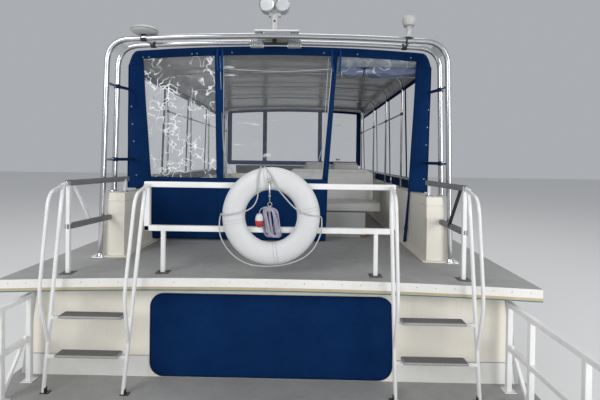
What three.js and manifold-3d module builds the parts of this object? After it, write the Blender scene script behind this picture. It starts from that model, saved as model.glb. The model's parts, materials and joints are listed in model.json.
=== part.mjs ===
// Houseboat with a lower aft deck, a raised upper deck and an enclosed flybridge.
// Millimetres. +X starboard, +Y bow, +Z up. Origin on the centreline, amidships, at the waterline.
import * as THREE from 'three';
import { mergeVertices } from 'three/addons/utils/BufferGeometryUtils.js';
import Module from 'manifold-3d';

const wasm = await Module();
wasm.setup();
const { Manifold, Mesh: SolidMesh } = wasm;

// Driving dimensions
const GAP = 0.3;
const STERN_Y = -6700;
const SHEER_Z = 940;
const AFT_DECK_Z = 1013;
const DECK_STEP = 867;
const UPPER_Z = AFT_DECK_Z + DECK_STEP;
const UPPER_HALF = 2090;
const UPPER_THICK = 98;
const UPPER_CROWN = 45;
const UPPER_AFT_Y = -5223;
const UPPER_FORE_Y = 3650;
const BULKHEAD_Y = -5038;
const WALL = 50;
const WALL_AFT_Y = -4720;
const FRONT_Y = 3400;
const RAIL_Y = -5070;
const RAIL_TOP = 700;
const RAIL_MID = 350;
const RAIL_SIZE = 45;
const COAMING_AFT_Y = -4504;
const COAMING_TOP = 569;
const BAND_PROUD = 9;
const ARCH_AFT_Y = -4538;
const ARCH_FORE_Y = -4314;
const ARCH_HALF = 1572;
const ARCH_FOOT_HALF = 1622;
const ARCH_CREST = 2078;
const ARCH_KNEE_X = 800;
const ARCH_KNEE_FALL = 14;
const ARCH_FALL = 50;
const ARCH_RADIUS = 25;
const CANOPY_CREST = 2050;
const CANOPY_FALL = 53;
const CANOPY_HALF = 1536;
const CANOPY_SHOULDER = 1420;
const CLOTH = 8;
const CURTAIN_TOP_Y = -4200;
const CURTAIN_FOOT_Y = -3800;
const CURTAIN_FORE_Y = 830;
const SOLE_Z = -130;
const COCKPIT_Z = 300;

const group = new THREE.Group();

// Paints and finishes: colour, roughness, metalness
const FINISH = {
  hull: [0xe9e7df, 0.35, 0],
  cream: [0xddd6c4, 0.45, 0],
  deck: [0x8d8c8a, 0.85, 0],
  tube: [0xd9dcdd, 0.35, 0.4],
  steel: [0xc4c8cb, 0.25, 0.9],
  canvas: [0x06326f, 0.85, 0],
  vinyl: [0xe6e3da, 0.5, 0],
  glass: [0x2c3338, 0.1, 0],
  acrylic: [0x3a3f42, 0.1, 0],
  plastic: [0xe4e5e2, 0.45, 0],
  black: [0x1b1c1e, 0.6, 0],
  bronze: [0x9b7a3c, 0.4, 0.9],
  iron: [0x5b625f, 0.6, 0.5],
  rope: [0xa6a3b8, 0.9, 0],
  red: [0xb3202c, 0.4, 0],
};

// Solids: every geometry is merged to bare positions and turned so that its faces point out.
function asSolid(geometry) {
  const bare = geometry.clone();
  bare.deleteAttribute('normal');
  bare.deleteAttribute('uv');
  const merged = mergeVertices(bare, 1e-3);
  const points = merged.attributes.position.array;
  const faces = Uint32Array.from(merged.index.array);
  if (signedVolume(points, faces) < 0) {
    for (let i = 0; i < faces.length; i += 3) {
      [faces[i + 1], faces[i + 2]] = [faces[i + 2], faces[i + 1]];
    }
  }
  const vertProperties = Float32Array.from(points);
  return new Manifold(new SolidMesh({ numProp: 3, vertProperties, triVerts: faces }));
}

function signedVolume(points, faces) {
  const a = new THREE.Vector3();
  const b = new THREE.Vector3();
  const c = new THREE.Vector3();
  let volume = 0;
  for (let i = 0; i < faces.length; i += 3) {
    a.fromArray(points, faces[i] * 3);
    b.fromArray(points, faces[i + 1] * 3);
    c.fromArray(points, faces[i + 2] * 3);
    volume += a.dot(b.cross(c));
  }
  return volume;
}

function asGeometry(solid) {
  const mesh = solid.getMesh();
  const geometry = new THREE.BufferGeometry();
  geometry.setAttribute('position', new THREE.BufferAttribute(Float32Array.from(mesh.vertProperties), 3));
  geometry.setIndex(Array.from(mesh.triVerts));
  return geometry;
}

function join(...shapes) {
  return asGeometry(shapes.map(asSolid).reduce((whole, shape) => whole.add(shape)));
}

function cut(shape, ...tools) {
  return asGeometry(tools.map(asSolid).reduce((whole, tool) => whole.subtract(tool), asSolid(shape)));
}

function common(shape, other) {
  return asGeometry(asSolid(shape).intersect(asSolid(other)));
}

function mirrored(shape) {
  return shape.clone().scale(-1, 1, 1);
}

// Shapes
function box(x0, x1, y0, y1, z0, z1) {
  const geometry = new THREE.BoxGeometry(x1 - x0, y1 - y0, z1 - z0);
  return geometry.translate((x0 + x1) / 2, (y0 + y1) / 2, (z0 + z1) / 2);
}

function outline(points) {
  return new THREE.Shape(points.map(([u, v]) => new THREE.Vector2(u, v)));
}

// An outline of [y, z] points run along X, of [x, z] points run along Y, or of [x, y] points run up Z
function runX(points, x0, x1) {
  const geometry = new THREE.ExtrudeGeometry(outline(points), { depth: x1 - x0, bevelEnabled: false });
  const turn = new THREE.Matrix4().set(0, 0, 1, x0, 1, 0, 0, 0, 0, 1, 0, 0, 0, 0, 0, 1);
  return geometry.applyMatrix4(turn);
}

function runY(points, y0, y1) {
  const geometry = new THREE.ExtrudeGeometry(outline(points), { depth: y1 - y0, bevelEnabled: false });
  const turn = new THREE.Matrix4().set(1, 0, 0, 0, 0, 0, 1, y0, 0, 1, 0, 0, 0, 0, 0, 1);
  return geometry.applyMatrix4(turn);
}

function runZ(points, z0, z1) {
  const geometry = new THREE.ExtrudeGeometry(outline(points), { depth: z1 - z0, bevelEnabled: false });
  return geometry.translate(0, 0, z0);
}

// A straight round rod between two points
function rod(from, to, radius, sides = 8) {
  const a = new THREE.Vector3(...from);
  const b = new THREE.Vector3(...to);
  const geometry = new THREE.CylinderGeometry(radius, radius, a.distanceTo(b), sides);
  const along = b.clone().sub(a).normalize();
  const turn = new THREE.Quaternion().setFromUnitVectors(new THREE.Vector3(0, 1, 0), along);
  const middle = a.add(b).multiplyScalar(0.5);
  return geometry.applyQuaternion(turn).translate(middle.x, middle.y, middle.z);
}

// A straight bar of rectangular section between two points: width is level, height is across it
function bar(from, to, width, height = width) {
  const a = new THREE.Vector3(...from);
  const b = new THREE.Vector3(...to);
  const along = b.clone().sub(a).normalize();
  const up = Math.abs(along.z) > 0.9 ? new THREE.Vector3(0, 1, 0) : new THREE.Vector3(0, 0, 1);
  const side = new THREE.Vector3().crossVectors(along, up).normalize();
  const top = new THREE.Vector3().crossVectors(side, along);
  const geometry = new THREE.BoxGeometry(width, a.distanceTo(b), height);
  const middle = a.clone().add(b).multiplyScalar(0.5);
  const turn = new THREE.Matrix4().makeBasis(side, along, top).setPosition(middle);
  return geometry.applyMatrix4(turn);
}

// A path that stops at each of its points, with the mean direction at every corner
class Route extends THREE.Curve {
  constructor(points) {
    super();
    this.points = points;
  }

  getPointAt(u) {
    const place = u * (this.points.length - 1);
    return this.points[Math.round(place)].clone();
  }

  getPoint(t) {
    return this.getPointAt(t);
  }

  getTangentAt(u) {
    const i = Math.round(u * (this.points.length - 1));
    const before = this.points[Math.max(i - 1, 0)];
    const here = this.points[i];
    const after = this.points[Math.min(i + 1, this.points.length - 1)];
    const arriving = here.clone().sub(before).normalize();
    const leaving = after.clone().sub(here).normalize();
    return arriving.add(leaving).normalize();
  }
}

// The corners of a bent tube, each rounded over the length called bend
function rounded(corners, bend, steps = 4) {
  const points = corners.map((corner) => new THREE.Vector3(...corner));
  const path = [points[0]];
  for (let i = 1; i < points.length - 1; i += 1) {
    const back = points[i - 1].clone().sub(points[i]);
    const ahead = points[i + 1].clone().sub(points[i]);
    const reach = Math.min(bend, back.length() * 0.48, ahead.length() * 0.48);
    const start = points[i].clone().addScaledVector(back.normalize(), reach);
    const end = points[i].clone().addScaledVector(ahead.normalize(), reach);
    const curve = new THREE.QuadraticBezierCurve3(start, points[i], end);
    path.push(...curve.getPoints(steps));
  }
  path.push(points.at(-1));
  return path;
}

function sweep(path, section) {
  const route = new Route(path);
  const options = { steps: path.length - 1, bevelEnabled: false, extrudePath: route };
  return new THREE.ExtrudeGeometry(section, options);
}

function circle(radius, sides = 8) {
  const points = [];
  for (let i = 0; i < sides; i += 1) {
    const angle = (i + 0.5) * 2 * Math.PI / sides;
    points.push([radius * Math.cos(angle), radius * Math.sin(angle)]);
  }
  return outline(points);
}

function tube(points, radius, sides = 8) {
  return sweep(points.map((point) => new THREE.Vector3(...point)), circle(radius, sides));
}

function pipe(corners, bend, radius, sides = 8, steps = 4) {
  return sweep(rounded(corners, bend, steps), circle(radius, sides));
}

// A skin through rings of points that match one to one
function loft(rings) {
  const count = rings[0].length;
  const faces = [];
  for (let r = 0; r < rings.length - 1; r += 1) {
    for (let i = 0; i < count; i += 1) {
      const a = r * count + i;
      const b = r * count + (i + 1) % count;
      faces.push(a, b, b + count, a, b + count, a + count);
    }
  }
  const last = (rings.length - 1) * count;
  for (let i = 1; i < count - 1; i += 1) {
    faces.push(0, i + 1, i);
    faces.push(last, last + i, last + i + 1);
  }
  const geometry = new THREE.BufferGeometry();
  geometry.setAttribute('position', new THREE.Float32BufferAttribute(rings.flat(2), 3));
  geometry.setIndex(faces);
  return geometry;
}

function add(name, geometry, finish) {
  const [color, roughness, metalness] = FINISH[finish];
  const material = new THREE.MeshStandardMaterial({ color, roughness, metalness });
  const mesh = new THREE.Mesh(asGeometry(asSolid(geometry)), material);
  mesh.name = name;
  group.add(mesh);
}

function addPair(name, geometry, finish) {
  add(`${name}_starboard`, geometry, finish);
  add(`${name}_port`, mirrored(geometry), finish);
}

// The crown of the upper deck, in flat strips
const CROWN_STEPS = [-5, -4, -3, -2, -1, 0, 1, 2, 3, 4, 5];

function deckTop(x) {
  const strip = UPPER_HALF / 5;
  const crown = (step) => UPPER_Z - UPPER_CROWN * (step / 5) ** 2;
  const low = Math.floor(x / strip);
  const part = x / strip - low;
  return crown(low) * (1 - part) + crown(low + 1) * part;
}

const crownLine = CROWN_STEPS.map((step) => step * UPPER_HALF / 5);
const deckTopLine = crownLine.map((x) => [x, deckTop(x)]);
const deckUnderLine = crownLine.map((x) => [x, deckTop(x) - UPPER_THICK]);

// Everything above the deck's underside, and everything below its top, as tools to seat pieces on it
const aboveUnder = runY([
  ...crownLine.map((x) => [x, deckTop(x) - UPPER_THICK - GAP]),
  [UPPER_HALF + 200, UPPER_Z + 400],
  [-UPPER_HALF - 200, UPPER_Z + 400],
], -7000, 7000);
const belowTop = runY([
  ...crownLine.map((x) => [x, deckTop(x) + GAP]),
  [UPPER_HALF, UPPER_Z - 400],
  [-UPPER_HALF, UPPER_Z - 400],
], -7000, 7000);

function seated(shape) {
  return cut(shape, belowTop);
}

// Hull sections, half breadths: y, keelZ, chineX, chineZ, sheerX, sheerZ
const HULL = [
  [STERN_Y, -560, 1900, -190, 2110, SHEER_Z],
  [-4800, -590, 1920, -185, 2150, SHEER_Z],
  [1500, -600, 1890, -160, 2150, SHEER_Z],
  [3500, -570, 1680, -50, 2140, SHEER_Z],
  [4900, -440, 1230, 180, 1930, 1000],
  [6000, -190, 660, 440, 1390, 1070],
  [6700, 240, 150, 690, 560, 1130],
];

function sheerAt(y) {
  const after = HULL.findIndex(([station]) => station >= y);
  const i = Math.max(1, after);
  const [y0, , , , x0, z0] = HULL[i - 1];
  const [y1, , , , x1, z1] = HULL[i];
  const part = (y - y0) / (y1 - y0);
  return { x: x0 + (x1 - x0) * part, z: z0 + (z1 - z0) * part };
}

// Running gear, starboard side
const SHAFT_X = 650;
const PROP_Y = -6080;
const PROP_Z = -770;
const PROP_RADIUS = 225;
const SHAFT_RISE = THREE.MathUtils.degToRad(10);
const SHAFT_RADIUS = 22;
const SHAFT_LENGTH = 1640;
const BEARING_BORE = 22.8;
const BEARING_SIDES = 16;
const LOG_RADIUS = 44;
const RUDDER_Y = -6430;
const RUDDER_TOP = -530;
const RUDDER_FOOT = -1000;

function alongShaft(distance) {
  return [SHAFT_X, PROP_Y + distance * Math.cos(SHAFT_RISE), PROP_Z + distance * Math.sin(SHAFT_RISE)];
}

// The moulded hull, let down by an amount
function hullBody(drop) {
  return loft(HULL.map(([y, keelZ, chineX, chineZ, sheerX, sheerZ]) => [
    [0, y, keelZ - drop], [chineX, y, chineZ - drop], [sheerX, y, sheerZ], [-sheerX, y, sheerZ],
    [-chineX, y, chineZ - drop],
  ]));
}

function shaftBore(side) {
  const [x, y0, z0] = alongShaft(150);
  const [, y1, z1] = alongShaft(SHAFT_LENGTH + 5);
  return rod([x * side, y0, z0], [x * side, y1, z1], BEARING_BORE, BEARING_SIDES);
}

function makeHull() {
  const skeg = runX([[-5200, -560], [-4900, -760], [-1500, -760], [1200, -590], [0, -500], [-4800, -500]],
    -40, 40);
  const logs = [];
  const bores = [];
  for (const side of [1, -1]) {
    const flip = ([x, y, z]) => [x * side, y, z];
    const post = (z) => [SHAFT_X * side, RUDDER_Y, z];
    const ends = [SHAFT_LENGTH - 220, SHAFT_LENGTH + 120].map((distance) => flip(alongShaft(distance)));
    logs.push(rod(...ends, LOG_RADIUS, 12));
    logs.push(rod(post(RUDDER_TOP + 8), post(-380), LOG_RADIUS, 12));
    bores.push(shaftBore(side));
    bores.push(rod(post(-700), post(-405), BEARING_BORE, BEARING_SIDES));
  }
  const cabin = runY([
    [-1740, SOLE_Z], [1740, SOLE_Z], [1890, 300], [1960, 1100], [-1960, 1100], [-1890, 300],
  ], -4700, 1500);
  const galley = runY([
    [-1250, SOLE_Z], [1250, SOLE_Z], [1740, 300], [1900, 1100], [-1900, 1100], [-1740, 300],
  ], 1499, 3250);
  const bay = box(-1000, 1000, -6480, -5420, -200, 1100);
  const cockpit = runZ([[-1250, 3460], [1250, 3460], [1150, 4700], [-1150, 4700]], COCKPIT_Z, 1200);
  const doorway = box(-330, 330, 3200, 3500, COCKPIT_Z, 1200);
  const hatchBase = box(-300, 300, 5250, 5850, 900, 1150);
  const locker = box(-250, 250, 5300, 5800, 700, 1200);
  const body = join(hullBody(0), skeg, ...logs, hatchBase);
  return cut(body, cabin, galley, bay, cockpit, doorway, locker, ...bores);
}
add('hull', makeHull(), 'hull');

// Shaft struts: a leg under the hull with the bearing at its foot
function makeStrut(side) {
  const leg = bar([SHAFT_X, PROP_Y + 300, PROP_Z + 40], [SHAFT_X, PROP_Y + 430, -380], 24, 110);
  const bearing = rod(alongShaft(200), alongShaft(380), LOG_RADIUS, 12);
  const pad = box(SHAFT_X - 60, SHAFT_X + 60, PROP_Y + 330, PROP_Y + 530, -470, -400);
  const casting = join(leg, bearing, pad);
  return cut(side > 0 ? casting : mirrored(casting), hullBody(GAP), shaftBore(side));
}
add('strut_starboard', makeStrut(1), 'bronze');
add('strut_port', makeStrut(-1), 'bronze');

// Propellers: three-bladed, each fixed on its shaft
function makePropeller() {
  const blades = [];
  for (let i = 0; i < 3; i += 1) {
    const face = outline([[30, -35], [110, -80], [190, -70], [PROP_RADIUS, 0], [190, 70], [110, 80],
      [30, 35]]);
    const blade = new THREE.ExtrudeGeometry(face, { depth: 10, bevelEnabled: false });
    blade.translate(0, 0, -5).rotateX(0.6).rotateY(i * 2 * Math.PI / 3);
    blades.push(blade);
  }
  const hub = new THREE.CylinderGeometry(46, 34, 150, 12);
  const nut = new THREE.CylinderGeometry(24, 12, 60, 8).translate(0, -100, 0);
  const shaft = new THREE.CylinderGeometry(SHAFT_RADIUS, SHAFT_RADIUS, SHAFT_LENGTH, BEARING_SIDES)
    .translate(0, SHAFT_LENGTH / 2, 0);
  const screw = join(hub, nut, shaft, ...blades);
  return screw.rotateX(SHAFT_RISE).translate(SHAFT_X, PROP_Y, PROP_Z);
}
addPair('propeller', makePropeller(), 'bronze');

function makeRudder() {
  const blade = runZ([[0, 95], [18, 40], [18, -60], [4, -225], [-4, -225], [-18, -60], [-18, 40]],
    RUDDER_FOOT, RUDDER_TOP);
  const stock = rod([0, 0, RUDDER_TOP - 40], [0, 0, -410], SHAFT_RADIUS, BEARING_SIDES);
  return join(blade, stock).translate(SHAFT_X, RUDDER_Y, 0);
}
addPair('rudder', makeRudder(), 'bronze');

addPair('engine', box(180, 820, -6420, -5560, -200 + GAP, 480), 'iron');

// Lower aft deck with two engine hatches
const HATCH_AFT_Y = -6400;
const HATCH_FORE_Y = -5500;
const HATCH_IN = 60;
const HATCH_OUT = 900;
const HINGE_RADIUS = 9;
const LID_GAP = 6;

// Barrels of a hinge along X: the middle one moves, the two beside it stay
function barrels(xs, y, z, moving) {
  const shapes = [];
  for (const x of xs) {
    const spans = moving ? [[x - 30, x + 30]] : [[x - 70, x - 30 - GAP], [x + 30 + GAP, x + 70]];
    for (const [from, to] of spans) {
      shapes.push(rod([from, y, z], [to, y, z], HINGE_RADIUS, 8));
    }
  }
  return shapes;
}

const HATCH_HINGE_Y = HATCH_FORE_Y - LID_GAP / 2;
const HATCH_HINGE_Z = AFT_DECK_Z + 10;
const HATCH_HINGE_XS = [250, 710];
const CLEAT_Y = -6150;

function makeAftDeck() {
  const edge = [[-2050, STERN_Y + 10], [2050, STERN_Y + 10], [2085, WALL_AFT_Y], [-2085, WALL_AFT_Y]];
  let deck = runZ(edge, SHEER_Z + GAP, AFT_DECK_Z);
  for (const side of [1, -1]) {
    const [x0, x1] = side > 0 ? [HATCH_IN, HATCH_OUT] : [-HATCH_OUT, -HATCH_IN];
    const mouth = box(x0, x1, HATCH_AFT_Y, HATCH_FORE_Y, AFT_DECK_Z - 40, AFT_DECK_Z + 10);
    const throat = box(x0 + 40, x1 - 40, HATCH_AFT_Y + 40, HATCH_FORE_Y - 40, SHEER_Z - 10, AFT_DECK_Z);
    deck = cut(deck, mouth, throat);
    const spans = HATCH_HINGE_XS.flatMap((x) => [[x - 70, x - 30 - GAP], [x + 30 + GAP, x + 70]]);
    const tabs = spans.map(([a, b]) => {
      const [t0, t1] = side > 0 ? [a, b] : [-b, -a];
      return box(t0, t1, HATCH_HINGE_Y + 1, HATCH_FORE_Y + 40, AFT_DECK_Z - 2, AFT_DECK_Z + 5);
    });
    const hinges = barrels(HATCH_HINGE_XS.map((x) => x * side), HATCH_HINGE_Y, HATCH_HINGE_Z, false);
    deck = join(deck, ...tabs, ...hinges);
  }
  const pads = [-1500, 1500].map((x) => (
    box(x - 45, x + 45, CLEAT_Y - 130, CLEAT_Y + 130, AFT_DECK_Z - 5, AFT_DECK_Z + 8)));
  return join(deck, ...pads);
}
add('aft_deck', makeAftDeck(), 'deck');

function makeHatch() {
  const lid = box(HATCH_IN + LID_GAP, HATCH_OUT - LID_GAP, HATCH_AFT_Y + LID_GAP, HATCH_FORE_Y - LID_GAP,
    AFT_DECK_Z - 40 + GAP, AFT_DECK_Z);
  const tabs = HATCH_HINGE_XS.map((x) => (
    box(x - 30, x + 30, HATCH_FORE_Y - 50, HATCH_HINGE_Y - 1, AFT_DECK_Z - 2, AFT_DECK_Z + 5)));
  return join(lid, ...tabs, ...barrels(HATCH_HINGE_XS, HATCH_HINGE_Y, HATCH_HINGE_Z, true));
}
addPair('engine_hatch', makeHatch(), 'deck');

// Swim platform on two brackets
const platform = runZ([[-1600, -7150], [-1450, -7250], [1450, -7250], [1600, -7150], [1600, STERN_Y - GAP],
  [-1600, STERN_Y - GAP]], 200, 255);
const brackets = [-900, 900].map((x) => (
  runX([[STERN_Y - GAP, 0], [-7100, 205], [STERN_Y - GAP, 205]], x - 30, x + 30)));
add('swim_platform', join(platform, ...brackets), 'hull');

// House: leaning side walls, aft bulkhead with angled corners, and a front wall with its door
const FOOT_HALF = 2130;
const HEAD_HALF = 2050;
const HEAD_Z = UPPER_Z + 60;

function leanAt(z) {
  return (FOOT_HALF - HEAD_HALF) * (z - SHEER_Z) / (HEAD_Z - SHEER_Z);
}

// Side windows: aftY, foreY
const SIDE_WINDOWS = [[-4300, -2900], [-2600, -1000], [-700, 900], [1200, 2800]];
const PANE_LOW = 1190;
const PANE_HIGH = 1640;

function makeSideWall() {
  const foot = SHEER_Z + GAP;
  const wall = runY([[FOOT_HALF, foot], [HEAD_HALF, HEAD_Z], [HEAD_HALF - WALL, HEAD_Z],
    [FOOT_HALF - WALL, foot]],
    WALL_AFT_Y + GAP, FRONT_Y - GAP);
  const panes = SIDE_WINDOWS.map(([y0, y1]) => box(1900, 2300, y0, y1, PANE_LOW, PANE_HIGH));
  return cut(wall, aboveUnder, ...panes);
}
addPair('house_side', makeSideWall(), 'cream');

function makeSideGlass() {
  const low = PANE_LOW - 25;
  const high = PANE_HIGH + 25;
  const inLow = FOOT_HALF - WALL - GAP - leanAt(low);
  const inHigh = FOOT_HALF - WALL - GAP - leanAt(high);
  return runY([[inLow, low], [inHigh, high], [inHigh - 6, high], [inLow - 6, low]],
    SIDE_WINDOWS[0][0] - 25, SIDE_WINDOWS.at(-1)[1] + 25);
}
addPair('side_glass', makeSideGlass(), 'glass');

function makeBulkhead() {
  const ring = (z) => {
    const flat = 2000 - 100 * (z - AFT_DECK_Z) / 800;
    const outer = FOOT_HALF - leanAt(z) - 45;
    const aft = BULKHEAD_Y;
    const fore = BULKHEAD_Y + WALL;
    const end = WALL_AFT_Y - GAP;
    return [[-flat, aft, z], [flat, aft, z], [outer, end, z], [outer - WALL, end, z], [flat - 35, fore, z],
      [35 - flat, fore, z], [WALL - outer, end, z], [-outer, end, z]];
  };
  const low = ring(AFT_DECK_Z + GAP);
  const high = ring(HEAD_Z);
  const shell = [];
  for (const [i, j, k, l] of [[0, 1, 4, 5], [1, 2, 3, 4], [5, 6, 7, 0]]) {
    shell.push(loft([[low[i], low[j], low[k], low[l]], [high[i], high[j], high[k], high[l]]]));
  }
  return cut(join(...shell), aboveUnder);
}
add('aft_bulkhead', makeBulkhead(), 'cream');

// Snap-on canvas cover over the wide opening panel in the bulkhead
const COVER_X = 20;
const COVER_HALF = 980;
const COVER_CORNER = 110;
function roundedPanel(half, low, high, radius) {
  const shape = new THREE.Shape();
  shape.moveTo(-half + radius, low);
  shape.lineTo(half - radius, low);
  shape.absarc(half - radius, low + radius, radius, -Math.PI / 2, 0, false);
  shape.lineTo(half, high - radius);
  shape.absarc(half - radius, high - radius, radius, 0, Math.PI / 2, false);
  shape.lineTo(-half + radius, high);
  shape.absarc(-half + radius, high - radius, radius, Math.PI / 2, Math.PI, false);
  shape.lineTo(-half, low + radius);
  shape.absarc(-half + radius, low + radius, radius, Math.PI, 1.5 * Math.PI, false);
  return shape;
}
const coverShape = roundedPanel(COVER_HALF, 8, 680, COVER_CORNER);
const cover = new THREE.ExtrudeGeometry(coverShape, { depth: 6, bevelEnabled: false, curveSegments: 4 });
cover.rotateX(Math.PI / 2).translate(COVER_X, BULKHEAD_Y - GAP, AFT_DECK_Z);
add('bulkhead_cover', cover, 'canvas');

const DOOR_HALF = 330;
const DOOR_HEAD = 1720;
const DOOR_PIN = [-DOOR_HALF, FRONT_Y + WALL + 14];
const DOOR_HINGES = [1010, 1500];

function standingBarrels([x, y], zs, moving) {
  const spans = zs.flatMap((z) => (
    moving ? [[z - 25, z + 25]] : [[z - 60, z - 25 - GAP], [z + 25 + GAP, z + 60]]));
  return spans.map(([z0, z1]) => rod([x, y, z0], [x, y, z1], HINGE_RADIUS, 8));
}

function makeFront() {
  const foot = SHEER_Z + GAP;
  const wall = runY([[FOOT_HALF, foot], [HEAD_HALF, HEAD_Z], [-HEAD_HALF, HEAD_Z], [-FOOT_HALF, foot]],
    FRONT_Y, FRONT_Y + WALL);
  const openings = [
    box(520, 1750, FRONT_Y - 50, FRONT_Y + 100, 1200, 1640),
    box(-1750, -520, FRONT_Y - 50, FRONT_Y + 100, 1200, 1640),
    box(-DOOR_HALF, DOOR_HALF, FRONT_Y - 50, FRONT_Y + 100, 500, DOOR_HEAD),
  ];
  const front = cut(wall, aboveUnder, ...openings);
  const fixed = standingBarrels(DOOR_PIN, DOOR_HINGES, false);
  const spans = DOOR_HINGES.flatMap((z) => [[z - 60, z - 25 - GAP], [z + 25 + GAP, z + 60]]);
  const tabs = spans.map(([z0, z1]) => (
    box(DOOR_PIN[0] - 40, DOOR_PIN[0], FRONT_Y + WALL - 5, DOOR_PIN[1] - 3, z0, z1)));
  return join(front, ...fixed, ...tabs);
}
add('house_front', makeFront(), 'cream');

const frontPane = box(495, 1775, FRONT_Y - GAP - 6, FRONT_Y - GAP, 1175, 1665);
addPair('front_glass', frontPane, 'glass');

const leaf = box(-DOOR_HALF + 8, DOOR_HALF - 8, FRONT_Y + 15, FRONT_Y + WALL + 5, COCKPIT_Z + 6,
  DOOR_HEAD - 6);
const doorLight = box(-200, 200, FRONT_Y - 50, FRONT_Y + 100, 1150, 1600);
const leafTabs = DOOR_HINGES.map((z) => (
  box(DOOR_PIN[0] + 2, DOOR_PIN[0] + 50, FRONT_Y + WALL + 2, DOOR_PIN[1] + 3, z - 25, z + 25)));
const door = join(cut(leaf, doorLight), ...leafTabs, ...standingBarrels(DOOR_PIN, DOOR_HINGES, true),
  box(-220, 220, FRONT_Y + 30, FRONT_Y + 36, 1130, 1620));
add('front_door', door, 'hull');

// Upper deck over the whole house
const deckSection = [...deckTopLine, ...[...deckUnderLine].reverse()];
add('upper_deck', runY(deckSection, UPPER_AFT_Y, UPPER_FORE_Y), 'deck');

// Foredeck hatch over the anchor locker
const FOREHATCH_HINGE = [5236, 1160];
const FOREHATCH_XS = [-160, 160];
const lid = box(-310, 310, 5245, 5860, 1150 + GAP, 1175);
const lidTabs = FOREHATCH_XS.map((x) => box(x - 30, x + 30, 5238, 5250, 1157, 1172));
add('foredeck_hatch', join(lid, ...lidTabs, ...barrels(FOREHATCH_XS, ...FOREHATCH_HINGE, true)), 'hull');

// Bow rail: a top tube round the foredeck on posts, with a middle tube
function makeBowRail() {
  const inset = 90;
  const height = 620;
  const corners = [3560, 4900, 6000, 6450];
  const posts = [3570, 4230, 5250, 6220];
  const line = (rise) => corners.map((y) => {
    const edge = sheerAt(y);
    return [edge.x - inset, y, edge.z + rise];
  });
  const shapes = [];
  for (const [rise, radius] of [[height, 16], [height / 2, 12]]) {
    const side = line(rise);
    const port = [...side].reverse().map(([x, y, z]) => [-x, y, z]);
    shapes.push(pipe([...side, ...port], 160, radius, 6, 2));
  }
  for (const side of [1, -1]) {
    for (const y of posts) {
      const edge = sheerAt(y);
      const x = (edge.x - inset) * side;
      shapes.push(rod([x, y, edge.z + 6], [x, y, edge.z + height], 12.5, 6));
      shapes.push(box(x - 30, x + 30, y - 30, y + 30, edge.z + 1, edge.z + 9));
    }
  }
  return shapes;
}
const foredeck = loft(HULL.map(([y, , , , sheerX, sheerZ]) => [
  [sheerX, y, sheerZ + GAP], [-sheerX, y, sheerZ + GAP], [-sheerX, y, sheerZ - 100],
  [sheerX, y, sheerZ - 100]]));
add('bow_rail', cut(join(...makeBowRail()), foredeck), 'steel');

// Rails of the upper deck
const CENTRE_HALF = 980;
const CENTRE_LEG = 850;
function makeCentreRail() {
  const half = RAIL_SIZE / 2;
  const top = UPPER_Z + RAIL_TOP;
  const mid = UPPER_Z + RAIL_MID;
  const shapes = [
    box(-CENTRE_HALF - half, CENTRE_HALF + half, RAIL_Y - half, RAIL_Y + half, top - half, top + half),
    box(-CENTRE_HALF - half, CENTRE_HALF + half, RAIL_Y - half, RAIL_Y + half, mid - half, mid + half),
  ];
  for (const side of [-1, 1]) {
    const end = CENTRE_HALF * side;
    const leg = CENTRE_LEG * side;
    shapes.push(box(end - half, end + half, RAIL_Y - half, RAIL_Y + half, mid, top));
    shapes.push(box(leg - half, leg + half, RAIL_Y - half, RAIL_Y + half, UPPER_Z - 60, mid));
    shapes.push(box(leg - 50, leg + 50, RAIL_Y - 50, RAIL_Y + 50, UPPER_Z - 60, deckTop(leg) + 8));
  }
  return seated(join(...shapes));
}
add('centre_rail', makeCentreRail(), 'tube');

const SIDE_POST_STARBOARD = 1548;
const SIDE_POST_PORT = 1620;
const STUB_X = 1470;
const STUB_Y = -4380;
function makeSideRail(postX) {
  const top = UPPER_Z + RAIL_TOP;
  const mid = UPPER_Z + RAIL_MID;
  const stub = UPPER_Z + COAMING_TOP;
  return seated(join(
    bar([postX + 6, RAIL_Y - 16, top], [STUB_X - 4, STUB_Y + 60, top], 40, 45),
    bar([postX + 6, RAIL_Y - 16, mid], [1545, COAMING_AFT_Y - BAND_PROUD - 6, mid], 40, 45),
    bar([postX, RAIL_Y, UPPER_Z - 60], [postX, RAIL_Y, top + 20], 32),
    bar([postX - 8, RAIL_Y + 60, top - 10], [postX - 14, -4760, mid], 25),
    rod([STUB_X, STUB_Y, stub + BAND_PROUD + GAP], [STUB_X, STUB_Y, top], 16),
    box(postX - 50, postX + 50, RAIL_Y - 50, RAIL_Y + 50, UPPER_Z - 60, deckTop(postX) + 6),
  ));
}
add('side_rail_starboard', makeSideRail(SIDE_POST_STARBOARD), 'tube');
add('side_rail_port', mirrored(makeSideRail(SIDE_POST_PORT)), 'tube');

// Ladders from the lower aft deck to the upper deck, with bent handrails
const LADDER_Y = -5301;
const LADDER_HANDRAIL_Y = -5468;
const LADDER_TREADS = [297, 589];
const STRINGER_RADIUS = 15;
const HANDRAIL_RADIUS = 13;
const RAIL_END_X = 966;
// Stringers of each ladder, from the centreline outwards: footX, headX, x where the tube meets the rail
const STRINGERS_STARBOARD = [[976, 921, RAIL_END_X], [1597, 1491, SIDE_POST_STARBOARD]];
const STRINGERS_PORT = [[1066, 911, RAIL_END_X], [1669, 1531, SIDE_POST_PORT]];

function stringerX([footX, headX], z) {
  return footX + (headX - footX) * (z - AFT_DECK_Z) / (UPPER_Z + RAIL_TOP - AFT_DECK_Z);
}

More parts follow.
